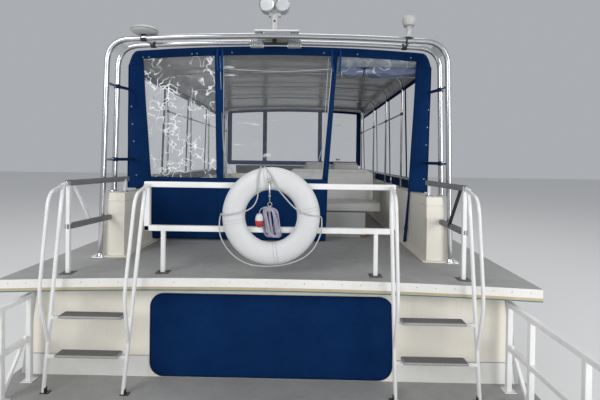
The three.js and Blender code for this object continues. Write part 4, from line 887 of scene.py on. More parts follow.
class HOUSEBOAT_OT_ring(PieceOperator, bpy.types.Operator):
    """Make the life ring with its seams, fixings and grab line"""

    bl_idname = "houseboat.ring"
    bl_label = "Life ring"

    def make(self):
        form = Form()
        section = []
        for step in range(29):
            angle = math.tau * step / 28
            section.append((RING_MEAN + RING_HALF_WIDTH * math.cos(angle), RING_HALF_DEPTH * math.sin(angle)))
        form.take(lathe(section, RING, (0, 1, 0), 96), "ring_skin")
        for radius in (RING_MEAN + RING_HALF_WIDTH - 0.001, RING_MEAN - RING_HALF_WIDTH + 0.001):
            seam = [RING + Vector((radius * math.cos(math.tau * i / 64), 0,
                                   radius * math.sin(math.tau * i / 64)))
                    for i in range(64)]
            form.take(tube(seam, 0.0022, 6, closed=True), "ring_skin")
        for turn in (0.18, 1.70, 3.30, 4.85):
            band = Vector((math.cos(turn), 0, math.sin(turn)))
            for out in (-1, 1):
                loop = []
                for step in range(28):
                    angle = math.tau * step / 28
                    spot = RING + band * (RING_MEAN + (RING_HALF_WIDTH + 0.0015) * math.cos(angle))
                    spot += Vector((0, (RING_HALF_DEPTH + 0.0015) * math.sin(angle), 0))
                    spot += Vector((-band.z, 0, band.x)) * 0.012 * out
                    loop.append(spot)
                form.take(tube(loop, 0.0013, 6, closed=True), "grab_cord")
        form.finish("life_ring_body", slot="white_plastic", replaces=("life_ring",), weighted=False)
        self.grab_line()

    def grab_line(self):
        """The line round the ring, fixed at its straps and hanging between them."""
        front = RING.y - RING_HALF_DEPTH - 0.008
        inside = RING.y - 0.034
        # x and z from the ring's centre, and how far aft, listed along the ring from the top
        stops = (
            (-0.055, 0.383, RING.y - 0.006), (-0.030, 0.362, front + 0.030), (0.000, 0.325, front),
            (0.030, 0.270, front),
            (0.062, 0.205, inside - 0.012), (0.110, 0.150, inside - 0.018), (0.170, 0.085, inside - 0.018),
            (0.232, 0.040, front + 0.004), (0.300, 0.020, front - 0.001), (0.345, 0.012, front + 0.016),
            (0.388, 0.000, RING.y - 0.012), (0.396, -0.040, RING.y - 0.006), (0.392, -0.110, RING.y - 0.010),
            (0.366, -0.190, RING.y - 0.012), (0.322, -0.262, RING.y - 0.014), (0.252, -0.322, RING.y - 0.012),
            (0.162, -0.362, RING.y - 0.010), (0.060, -0.386, RING.y - 0.008),
            (-0.050, -0.392, RING.y - 0.008),
            (-0.150, -0.382, RING.y - 0.010), (-0.250, -0.338, RING.y - 0.014),
            (-0.335, -0.262, RING.y - 0.016),
            (-0.392, -0.160, RING.y - 0.014), (-0.402, -0.060, RING.y - 0.010),
            (-0.391, 0.010, RING.y - 0.006),
            (-0.374, 0.012, RING.y - 0.052), (-0.318, 0.016, front - 0.001), (-0.258, 0.024, front + 0.002),
            (-0.213, 0.036, inside - 0.016), (-0.170, 0.052, inside - 0.014), (-0.130, 0.085, inside - 0.012),
            (-0.104, 0.140, inside - 0.012), (-0.098, 0.200, inside - 0.014), (-0.100, 0.238, front + 0.004),
            (-0.096, 0.300, front - 0.001), (-0.088, 0.350, front + 0.020), (-0.082, 0.384, RING.y - 0.010),
        )
        points = [Vector((RING.x + x, y, RING.z + z)) for x, z, y in stops]
        path = smooth_run(points, 4)
        curve = curve_of("ring_grab_line", path, 0.005, 8)
        curve.materials.append(finish("grab_cord"))
        piece = bpy.data.objects.new("ring_grab_line", curve)
        bpy.context.scene.collection.objects.link(piece)
        settle(piece, "boat", "rope")


def smooth_run(points, steps):
    """A smooth line through points, by cubic steps between each pair."""
    path = []
    last = len(points) - 1
    for i in range(last):
        before, start, end, after = points[max(i - 1, 0)], points[i], points[i + 1], points[min(i + 2, last)]
        for step in range(steps):
            t = step / steps
            path.append(0.5 * (2 * start + (end - before) * t + (2 * before - 5 * start + 4 * end - after) * t ** 2
                               + (3 * start - before - 3 * end + after) * t ** 3))
    path.append(points[-1])
    return path


class HOUSEBOAT_OT_finishes(PieceOperator, bpy.types.Operator):
    """Give each solid that shows its finish"""

    bl_idname = "houseboat.finishes"
    bl_label = "Finishes"

    def make(self):
        make_materials()
        slots = {row["node"]: row["material_slot"] for row in frame["record"]["subparts"]}
        for name, node in frame["nodes"].items():
            node.data.materials.clear()
            node.data.materials.append(finish(slots[name]))


# Hull stations at the sheer: y, half breadth, height
SHEER_LINE = ((-6.70, 2.110, 0.940), (-4.80, 2.150, 0.940), (1.50, 2.150, 0.940), (3.50, 2.140, 0.940),
              (4.90, 1.930, 1.000), (6.00, 1.390, 1.070), (6.70, 0.560, 1.130))


def sheer_at(y):
    for (y0, x0, z0), (y1, x1, z1) in zip(SHEER_LINE, SHEER_LINE[1:]):
        if y <= y1:
            part = (y - y0) / (y1 - y0)
            return lerp(x0, x1, part), lerp(z0, z1, part)
    return SHEER_LINE[-1][1:]


class HOUSEBOAT_OT_hull(PieceOperator, bpy.types.Operator):
    """Make the rub rail, exhausts and cleats on the hull"""

    bl_idname = "houseboat.hull"
    bl_label = "Hull trim"

    def make(self):
        form = Form()
        side = [Vector((x, y, z - 0.045)) for y, x, z in SHEER_LINE]
        port = [Vector((-p.x, p.y, p.z)) for p in reversed(side)]
        form.take(tube(side + port, 0.020, 12), "white_tube")
        form.take(tube([p + Vector((0.012 if p.x > 0 else -0.012, 0, 0)) for p in side + port], 0.011, 10),
                  "black_plastic")
        stern = Vector((0, -6.702, 0.895))
        form.take(bar(stern - Vector((2.10, 0, 0)), stern + Vector((2.10, 0, 0)), 0.034, 0.034, 0.008),
                  "white_tube")
        for x in (-1.30, 1.30):
            pipe_profile = ((0.035, 0.000), (0.050, 0.000), (0.056, 0.010), (0.056, 0.060), (0.046, 0.075),
                            (0.044, 0.060), (0.044, 0.010), (0.035, 0.006))
            form.take(lathe(pipe_profile, (x, -6.700, 0.150), (0, -1, 0), 28), "black_plastic")
            # A dark disc inside each exhaust's mouth: painted shade of the pipe's bore.
            form.take(lathe(((0, 0.001), (0.043, 0.001)), (x, -6.700, 0.150), (0, -1, 0), 20), "dark_gap")
        form.finish("rub_rail_and_exhausts", slot="white_tube")
        self.cleats()

    def cleats(self):
        form = Form()
        for side in SIDES:
            stern = Vector((1.500 * side, -6.150, AFT_DECK_Z + 0.008))
            x, z = sheer_at(4.6)
            bow = Vector(((x - 0.22) * side, 4.60, z + 0.0005))
            for foot in (stern, bow):
                for end in (-0.045, 0.045):
                    base = foot + Vector((0, end, 0))
                    form.take(lathe(((0.020, 0), (0.020, 0.004), (0.011, 0.010), (0.010, 0.040), (0, 0.040)),
                                    base, (0, 0, 1), 16), "stainless")
                horns = [foot + Vector((0, y, 0.044 + lift)) for y, lift in (
                    (-0.125, 0.010), (-0.080, 0.003), (0, 0), (0.080, 0.003), (0.125, 0.010))]
                form.take(tube(smooth_run(horns, 4), 0.011, 12), "stainless")
        form.finish("cleats", slot="stainless", weighted=False)


EDGE_BAND = 0.068
BRASS_HEIGHT = 0.021
TEAL_HEIGHT = 0.009


class HOUSEBOAT_OT_decks(PieceOperator, bpy.types.Operator):
    """Make the edge bands of the decks, the kick band and the corner trims"""

    bl_idname = "houseboat.decks"
    bl_label = "Deck edges"

    def make(self):
        form = Form()
        half = UPPER_HALF

        def across(low, high, proud):
            y = UPPER_AFT_Y - proud

            def place(u, v):
                x = lerp(-half - 0.002, half + 0.002, u)
                return Vector((x, y, deck_top(max(-half, min(half, x))) - lerp(low, high, v)))
            return sheet(place, 60, 2)

        def along(side, low, high, proud):
            def place(u, v):
                z = deck_top(half) - lerp(low, high, v)
                return Vector((side * (half + proud), lerp(UPPER_AFT_Y, UPPER_FORE_Y, u), z))
            return sheet(place, 90, 2)

        brass_foot = EDGE_BAND + BRASS_HEIGHT
        strips = ((0.002, EDGE_BAND, 0.0025, "edge_speckle"), (EDGE_BAND, brass_foot, 0.0045, "brass_strip"),
                  (brass_foot, brass_foot + TEAL_HEIGHT, 0.0030, "teal_line"))
        for low, high, proud, name in strips:
            for part in (across(low, high, proud), along(1, low, high, proud), along(-1, low, high, proud)):
                bmesh.ops.recalc_face_normals(part, faces=part.faces)
                bmesh.ops.solidify(part, geom=part.faces, thickness=0.002)
                form.take(part, name)
        screws = []
        for i in range(29):
            x = lerp(-2.0, 2.0, i / 28)
            screws.append((x, UPPER_AFT_Y - 0.004, deck_top(x) - 0.030))
        form.take(dots(screws, (0, -1, 0), 0.0045, 0.002), "stainless")
        form.finish("deck_edge_band", slot="deck_grip")
        self.kick_band()

    def kick_band(self):
        """The speckled band at the foot of the aft bulkhead, and the trims at its corners."""
        form = Form()
        top = AFT_DECK_Z + 0.170
        aft = BULKHEAD_Y - 0.001
        for x0, x1 in ((-1.985, -0.970), (1.010, 1.985)):
            form.take(block((x0, aft - 0.004, AFT_DECK_Z + 0.001), (x1, aft, top), 0.0015), "edge_speckle")
            form.take(block((x0, aft - 0.005, top), (x1, aft, top + 0.004), 0.001), "joint_line")
        for side in SIDES:
            foot = Vector((side * 1.998, BULKHEAD_Y - 0.004, AFT_DECK_Z + 0.004))
            head = Vector((side * 1.902, BULKHEAD_Y - 0.004, UPPER_Z - 0.125))
            form.take(bar(foot, head, 0.030, 0.008, 0.003), "white_plastic")
        form.finish("kick_band_and_trims", slot="deck_grip")


COVER_X = 0.020
COVER_HALF = 0.980
COVER_LOW = AFT_DECK_Z + 0.008
COVER_HIGH = AFT_DECK_Z + 0.680
COVER_CORNER = 0.110


class HOUSEBOAT_OT_cover(PieceOperator, bpy.types.Operator):
    """Make the snap-on canvas cover of the aft bulkhead"""

    bl_idname = "houseboat.cover"
    bl_label = "Bulkhead cover"

    def make(self):
        half, low, high, round_by = COVER_HALF, COVER_LOW, COVER_HIGH, COVER_CORNER
        middle = (low + high) / 2
        tall = (high - low) / 2

        def in_corner(x, z):
            dx, dz = abs(x) - (half - round_by), abs(z) - (tall - round_by)
            far = math.hypot(dx, dz)
            if dx > 0 and dz > 0 and max(dx, dz) > 0:
                scale = max(dx, dz) / far
                return (math.copysign(half - round_by + dx * scale, x),
                        math.copysign(tall - round_by + dz * scale, z))
            return x, z

        def place(u, v):
            x, z = in_corner(lerp(-half, half, u), lerp(-tall, tall, v))
            edge = min(1 - abs(x) / half, 1 - abs(z) / tall)
            belly = 0.012 * min(1, edge * 3.0) * (0.6 + 0.4 * math.sin(3.1 * u + 0.6))
            folds = 0.0035 * math.sin(26 * u + 5 * v) * math.sin(math.pi * v) * min(1, edge * 6)
            scallop = 0.004 * math.cos(math.tau * 9 * u) * max(0, v - 0.9) * 10 * 0.3
            return Vector((COVER_X + x, BULKHEAD_Y - 0.003 - belly - folds, middle + z - scallop))

        part = sheet(place, 96, 40)
        bmesh.ops.recalc_face_normals(part, faces=part.faces)
        form = Form()
        form.take(part, "blue_canvas")
        cover = form.finish("cover_canvas", slot="blue_canvas", replaces=("bulkhead_cover",), weighted=False)
        thicken(cover, sizes().cloth)
        hem = Form()
        run = []
        for corner in range(4):
            cx = (half - round_by) * (1 if corner in (0, 3) else -1)
            cz = (tall - round_by) * (1 if corner in (0, 1) else -1)
            for step in range(9):
                angle = math.pi / 2 * (corner + step / 8)
                run.append(Vector((COVER_X + cx + round_by * math.cos(angle), BULKHEAD_Y - 0.004,
                                   middle + cz + round_by * math.sin(angle))))
        hem.take(tube(run, 0.0035, 8, closed=True), "binding")
        snaps = [(COVER_X + lerp(-half + 0.05, half - 0.05, i / 10), BULKHEAD_Y - 0.005, high - 0.022)
                 for i in range(11)]
        snaps += [(COVER_X + side * (half - 0.02), BULKHEAD_Y - 0.005, lerp(low + 0.12, high - 0.14, i / 2))
                  for side in SIDES for i in range(3)]
        snaps += [(COVER_X + lerp(-half + 0.12, half - 0.12, i / 8), BULKHEAD_Y - 0.005, low + 0.022)
                  for i in range(9)]
        hem.take(dots(snaps, (0, -1, 0), 0.0075, 0.004), "blue_canvas")
        edge = hem.finish("cover_binding", slot="blue_canvas", weighted=False)


def thicken(piece, thickness, offset=0.0, material_offset=0):
    """Gives a sheet its thickness by a live modifier."""
    modifier = piece.modifiers.new("cloth thickness", "SOLIDIFY")
    modifier.thickness = thickness
    modifier.offset = offset
    modifier.material_offset = material_offset
    return modifier


class HOUSEBOAT_OT_rails(PieceOperator, bpy.types.Operator):
    """Make the rails of the two decks and the stern gate"""

    bl_idname = "houseboat.rails"
    bl_label = "Deck rails"

    def make(self):
        self.centre_rail()
        for side in SIDES:
            self.side_rail(side)
            self.lower_rail(side)
        self.gate()

    def centre_rail(self):
        form = Form()
        size = sizes().rail
        half = size / 2
        for z in (RAIL_TOP, RAIL_MID):
            form.take(bar((-CENTRE_HALF - half, RAIL_Y, z), (CENTRE_HALF + half, RAIL_Y, z), size, size,
                          0.006),
                      "white_tube")
        for side in SIDES:
            end, leg = CENTRE_HALF * side, CENTRE_LEG * side
            form.take(bar((end, RAIL_Y, RAIL_MID - half), (end, RAIL_Y, RAIL_TOP - half + 0.002), size, size,
                          0.006),
                      "white_tube")
            form.take(bar((leg, RAIL_Y, deck_top(leg) + 0.001), (leg, RAIL_Y, RAIL_MID - half + 0.002), 0.034,
                          0.034,
                          0.005), "white_tube")
            form.take(self.foot(leg, RAIL_Y), "foot_grey")
            form.take(self.foot_screws(leg, RAIL_Y), "stainless")
        form.finish("centre_rail_tube", slot="white_tube", replaces=("centre_rail",))

    def foot(self, x, y, size=0.05):
        z = deck_top(x)
        return block((x - size, y - size, z - 0.001), (x + size, y + size, z + 0.007), 0.003)

    def foot_screws(self, x, y, reach=0.038):
        z = deck_top(x) + 0.007
        return dots([(x + a * reach, y + b * reach, z) for a in SIDES for b in SIDES], (0, 0, 1), 0.005,
                    0.002)

    def side_rail(self, side):
        form = Form()
        post_x, top, mid = SIDE_POSTS[side], RAIL_TOP, RAIL_MID

        def at(x, y, z):
            return Vector((x * side, y, z))

        runs = ((at(post_x + 0.006, RAIL_Y - 0.016, top), at(1.466, -4.320, top)),
                (at(post_x + 0.006, RAIL_Y - 0.016, mid), at(1.545, COAMING_AFT_Y - 0.015, mid)))
        # The bars' dark grey and the dark strip along their tops are in part painted shade.
        for start, end in runs:
            form.take(bar(start, end, 0.040, 0.045, 0.006), "rail_grey")
            lift, way = Vector((0, 0, 0.0228)), (end - start).normalized() * 0.012
            form.take(bar(start + lift + way, end + lift - way, 0.030, 0.0016, 0.0005), "tread_grip")
        form.take(bar(at(post_x, RAIL_Y, deck_top(post_x) + 0.001), at(post_x, RAIL_Y, top + 0.020), 0.032,
                      0.032,
                      0.005), "white_tube")
        form.take(bar(at(post_x - 0.008, RAIL_Y + 0.060, top - 0.010), at(post_x - 0.014, -4.760, mid), 0.022,
                      0.022,
                      0.003), "black_plastic" if side > 0 else "white_tube")
        form.take(tube([at(1.470, -4.380, COAMING_TOP + 0.0095), at(1.470, -4.380, top)], 0.016, 16),
                  "white_tube")
        form.take(lathe(((0.016, 0), (0.036, 0), (0.036, 0.004), (0.019, 0.008), (0.016, 0.020)),
                        at(1.470, -4.380, COAMING_TOP + 0.0095), (0, 0, 1), 24), "stainless")
        form.take(self.foot(post_x * side, RAIL_Y), "foot_grey")
        form.take(self.foot_screws(post_x * side, RAIL_Y), "stainless")
        form.take(block((post_x * side - 0.017, RAIL_Y - 0.017, top + 0.019),
                        (post_x * side + 0.017, RAIL_Y + 0.017, top + 0.024), 0.003), "black_plastic")
        name = SIDE_NAMES[side]
        form.finish(f"side_rail_tube_{name}", slot="white_tube", replaces=(f"side_rail_{name}",))

    def lower_rail(self, side):
        form = Form()
        post = 0.040

        def at(x, y, z):
            return Vector((x * side, y, z))

        for z in (LOWER_TOP, LOWER_MID):
            form.take(bar(at(1.885, -5.118, z), at(1.920, STERN_RAIL_Y, z), post, post, 0.006), "white_tube")
            form.take(bar(at(1.940, STERN_RAIL_Y, z), at(GATE_HALF + 0.040, STERN_RAIL_Y, z), post, post,
                          0.006),
                      "white_tube")
        posts = ((1.885, -5.138), (1.892, -5.440), (1.905, -6.000), (1.920, STERN_RAIL_Y),
                 (1.150, STERN_RAIL_Y),
                 (GATE_HALF + 0.040, STERN_RAIL_Y))
        for x, y in posts:
            form.take(bar(at(x, y, AFT_DECK_Z + 0.001), at(x, y, LOWER_TOP + 0.015), post, post, 0.006),
                      "white_tube")
            plate_low, plate_high = Vector((x * side - 0.045, y - 0.045, AFT_DECK_Z + 0.0005)), 0.0075
            form.take(block(plate_low, plate_low + Vector((0.090, 0.090, plate_high)), 0.003), "white_tube")
            form.take(dots([(x * side + a * 0.034, y + b * 0.034,
                             AFT_DECK_Z + 0.008) for a in SIDES for b in SIDES],
                           (0, 0, 1), 0.005, 0.002), "stainless")
        form.take(bar(at(1.886, -5.180, LOWER_MID + 0.030), at(1.892, -5.440, AFT_DECK_Z + 0.030), 0.025,
                      0.025,
                      0.004), "white_tube")
        name = SIDE_NAMES[side]
        if side < 0:
            self.hinges(form, moving=False)
        form.finish(f"lower_rail_tube_{name}", slot="white_tube", replaces=(f"lower_rail_{name}",))

    def hinges(self, form, moving):
        """The knuckles of the gate's hinges: the middle ones turn with the gate."""
        pin_x, pin_y = -GATE_HALF - 0.008, STERN_RAIL_Y - 0.031
        for rise in (0.150, 0.600):
            z = AFT_DECK_Z + rise
            spans = ((z - 0.025, z + 0.025),) if moving else ((z - 0.060, z - 0.0253),
                                                              (z + 0.0253, z + 0.060))
            for low, high in spans:
                form.take(tube([(pin_x, pin_y, low), (pin_x, pin_y, high)], 0.009, 16), "stainless")
                x0, x1 = (pin_x, pin_x + 0.048) if moving else (pin_x - 0.037, pin_x)
                form.take(block((x0, pin_y - 0.003, low), (x1, pin_y + 0.012, high), 0.001), "stainless")

    def gate(self):
        form = Form()
        stile, inside = 0.036, GATE_HALF - 0.010
        for z in (LOWER_TOP, LOWER_MID, AFT_DECK_Z + 0.080):
            form.take(bar((-inside + 0.005, STERN_RAIL_Y, z), (inside - 0.005, STERN_RAIL_Y, z), stile, stile,
                          0.005),
                      "white_tube")
        for side in SIDES:
            x = (inside - 0.018) * side
            form.take(bar((x, STERN_RAIL_Y, AFT_DECK_Z + 0.060), (x, STERN_RAIL_Y, LOWER_TOP + 0.015), stile,
                          stile,
                          0.005), "white_tube")
        latch_z = LOWER_TOP - 0.040
        form.take(block((inside - 0.034, STERN_RAIL_Y - 0.030, latch_z - 0.030),
                        (inside - 0.002, STERN_RAIL_Y - 0.018, latch_z + 0.030), 0.003), "stainless")
        self.hinges(form, moving=True)
        form.finish("stern_gate_tube", body="stern_gate", slot="white_tube", replaces=("stern_gate",))


# Stringers of each ladder from the centreline outwards: foot x, head x, x where the tube meets the rail
RAIL_END_X = 0.966
STRINGERS = {1: ((0.976, 0.921, RAIL_END_X), (1.597, 1.491, SIDE_POSTS[1])),
             -1: ((1.066, 0.911, RAIL_END_X), (1.669, 1.531, SIDE_POSTS[-1]))}


class HOUSEBOAT_OT_ladders(PieceOperator, bpy.types.Operator):
    """Make the two ladders with their bent handrails and grip treads"""

    bl_idname = "houseboat.ladders"
    bl_label = "Ladders"

    def make(self):
        for side in SIDES:
            self.ladder(side, STRINGERS[side])

    def ladder(self, side, stringers):
        form = Form()
        head = RAIL_TOP

        def stringer_x(stringer, z):
            foot_x, head_x, _ = stringer
            return side * lerp(foot_x, head_x, (z - AFT_DECK_Z) / (head - AFT_DECK_Z))

        for stringer in stringers:
            def at(y, z, line=stringer):
                return Vector((stringer_x(line, z), y, z))
            foot_x, rail_x = side * stringer[0], side * stringer[2]
            top = Vector((rail_x, RAIL_Y - 0.075, head - 0.012))
            leg = (at(LADDER_Y, AFT_DECK_Z + 0.001), at(LADDER_Y, head - 0.120), top)
            form.take(tube(eased(leg, 0.110), sizes().stringer, 20), "white_tube")
            grip = (at(LADDER_Y, 1.400), at(HANDRAIL_Y, UPPER_Z - 0.090), at(HANDRAIL_Y, head - 0.050), top)
            form.take(tube(eased(grip, 0.110), sizes().handrail, 16), "white_tube")
            form.take(bar((rail_x, RAIL_Y - 0.090, head - 0.014), (rail_x, RAIL_Y - 0.026, head - 0.005),
                          0.032,
                          0.030, 0.008), "white_tube")
            form.take(block((foot_x - side * 0.048, LADDER_Y - 0.022, AFT_DECK_Z + 0.0005),
                            (foot_x + side * 0.016, LADDER_Y + 0.022, AFT_DECK_Z + 0.0055), 0.001),
                            "black_plastic")
            form.take(block((foot_x - side * 0.020, LADDER_Y - 0.018, AFT_DECK_Z + 0.004),
                            (foot_x - side * 0.016, LADDER_Y + 0.018, AFT_DECK_Z + 0.040), 0.001),
                            "black_plastic")
            form.take(dots([(foot_x - side * 0.036, LADDER_Y + b * 0.012,
                             AFT_DECK_Z + 0.0055) for b in SIDES],
                           (0, 0, 1), 0.004, 0.002), "stainless")
        for rise in TREADS:
            self.tread(form, side, AFT_DECK_Z + rise, stringer_x, stringers)
        name = SIDE_NAMES[side]
        form.finish(f"ladder_tube_{name}", slot="white_tube", replaces=(f"ladder_{name}",))

    def tread(self, form, side, z, stringer_x, stringers):
        """A crossbar under a ribbed step with a rounded front edge."""
        inner, outer = (stringer_x(stringer, z) for stringer in stringers)
        form.take(bar((inner, LADDER_Y, z - 0.018), (outer, LADDER_Y, z - 0.018), 0.026, 0.026, 0.006),
                  "white_tube")
        x0, x1 = sorted((inner + side * 0.052, outer - side * 0.080))
        form.take(block((x0, LADDER_Y - 0.050, z - 0.010), (x1, LADDER_Y + 0.050, z + 0.010), 0.007, 3),
                  "tread_edge")
        ribs = 9
        for i in range(ribs):
            y = lerp(LADDER_Y - 0.042, LADDER_Y + 0.042, i / (ribs - 1))
            form.take(block((x0 + 0.010, y - 0.0034, z + 0.009), (x1 - 0.010, y + 0.0034, z + 0.0118), 0.0008,
                            1),
                      "tread_grip")
        middle = (x0 + x1) / 2
        form.take(dots([(middle + d, LADDER_Y - 0.013, z - 0.018) for d in (-0.030, 0.030)], (0, -1, 0),
                       0.004,
                       0.002), "black_plastic")


LEG_TIES = (0.890, 1.605)
CREST_TIE_X = 1.225
GUSSET_X = 1.5105
GUSSET_DROP = 0.104
PLATE_HALF = 0.205
PLATE_LOW = CREST_Z + 0.036
PLATE_TOP = CREST_Z + 0.048


class HOUSEBOAT_OT_arch(PieceOperator, bpy.types.Operator):
    """Make the arch of two hoops with its ties, gussets, straps and centre plate"""

    bl_idname = "houseboat.arch"
    bl_label = "Arch"

    def hoop(self, y):
        half = [Vector((ARCH_FOOT_HALF, y, deck_top(ARCH_FOOT_HALF) + 0.002)),
                Vector((ARCH_HALF, y, CREST_Z - ARCH_FALL)),
                Vector((ARCH_KNEE_X, y, CREST_Z - ARCH_KNEE_FALL))]
        far = [Vector((-p.x, p.y, p.z)) for p in reversed(half)]
        return eased([*half, Vector((0, y, CREST_Z)), *far], ARCH_BEND, 14)

    def make(self):
        form = Form()
        for y in (ARCH_AFT_Y, ARCH_FORE_Y):
            path = self.hoop(y)
            if y == ARCH_FORE_Y:
                cap = COAMING_TOP + 0.0095
                path[0] = Vector((arch_x(cap), y, cap))
                path[-1] = Vector((-arch_x(cap), y, cap))
            form.take(tube(path, sizes().hoop, 24), "stainless")
            form.take(block((-0.120, y - 0.018, CREST_Z + 0.010), (0.120, y + 0.018, PLATE_LOW + 0.002),
                            0.003),
                      "stainless")
        for side in SIDES:
            self.one_side(form, side)
        form.take(block((-PLATE_HALF, ARCH_AFT_Y - 0.030, PLATE_LOW),
                        (PLATE_HALF, ARCH_FORE_Y + 0.030, PLATE_TOP),
                        0.004), "white_tube")
        form.finish("arch_tubes", slot="stainless", replaces=("arch",))

    def one_side(self, form, side):
        radius = sizes().hoop
        for rise in LEG_TIES:
            z = UPPER_Z + rise
            x = arch_x(z) * side
            form.take(tube([(x, ARCH_AFT_Y, z), (x, ARCH_FORE_Y, z)], 0.014, 14), "stainless")
            wrap = ((radius, -0.020), (radius + 0.004, -0.018), (radius + 0.005, 0.0),
                    (radius + 0.004, 0.018),
                    (radius, 0.020))
            form.take(lathe(wrap, (x, ARCH_FORE_Y, z), (0, 0, 1), 24), "binding")
            edge = Vector((side * (lerp(CURTAIN_HIP, CANOPY_HALF, rise / 2.0) - 0.030), curtain_y(z) - 0.004,
                           z))
            form.take(bar((x - side * radius * 0.8, ARCH_FORE_Y + radius * 0.7, z), edge, 0.003, 0.030,
                          0.001), "binding")
        foot = side * ARCH_FOOT_HALF
        ground = deck_top(ARCH_FOOT_HALF)
        form.take(block((foot - 0.050, ARCH_AFT_Y - 0.050, ground - 0.001), (foot + 0.050, ARCH_AFT_Y + 0.050,
                        ground + 0.010), 0.003), "stainless")
        form.take(lathe(((radius, 0), (radius + 0.012, 0), (radius + 0.010, 0.014), (radius + 0.003, 0.034),
                         (radius, 0.036)), (foot, ARCH_AFT_Y, ground + 0.009), (0, 0, 1), 28), "stainless")
        form.take(dots([(foot + a * 0.038, ARCH_AFT_Y + b * 0.038,
                         ground + 0.010) for a in SIDES for b in SIDES],
                       (0, 0, 1), 0.006, 0.004), "stainless")
        cap = COAMING_TOP + 0.0095
        form.take(lathe(((radius, 0), (radius + 0.016, 0), (radius + 0.014, 0.006), (radius, 0.010)),
                        (arch_x(cap) * side, ARCH_FORE_Y, cap), (0, 0, 1), 28), "stainless")
        tie = hoop_top(CREST_TIE_X) - radius
        form.take(bar((side * CREST_TIE_X, ARCH_AFT_Y, tie), (side * CREST_TIE_X, ARCH_FORE_Y, tie), 0.026,
                      0.026,
                      0.004), "stainless")
        for y, name in ((ARCH_AFT_Y, "stainless"), (ARCH_FORE_Y, "black_plastic")):
            form.take(lathe(((radius, -0.024), (radius + 0.006, -0.024), (radius + 0.006, 0.024),
                             (radius, 0.024)),
                            (side * CREST_TIE_X, y, tie), (1, 0, 0), 24), name)
        plate = block((-0.0625, ARCH_AFT_Y, -0.005), (0.0625, ARCH_FORE_Y, 0.005), 0.003)
        place = Matrix.Translation((side * GUSSET_X, 0, CREST_Z - GUSSET_DROP))
        form.take(plate, "gusset_paint", matrix=place @ Matrix.Rotation(math.radians(44 * side), 4, "Y"))


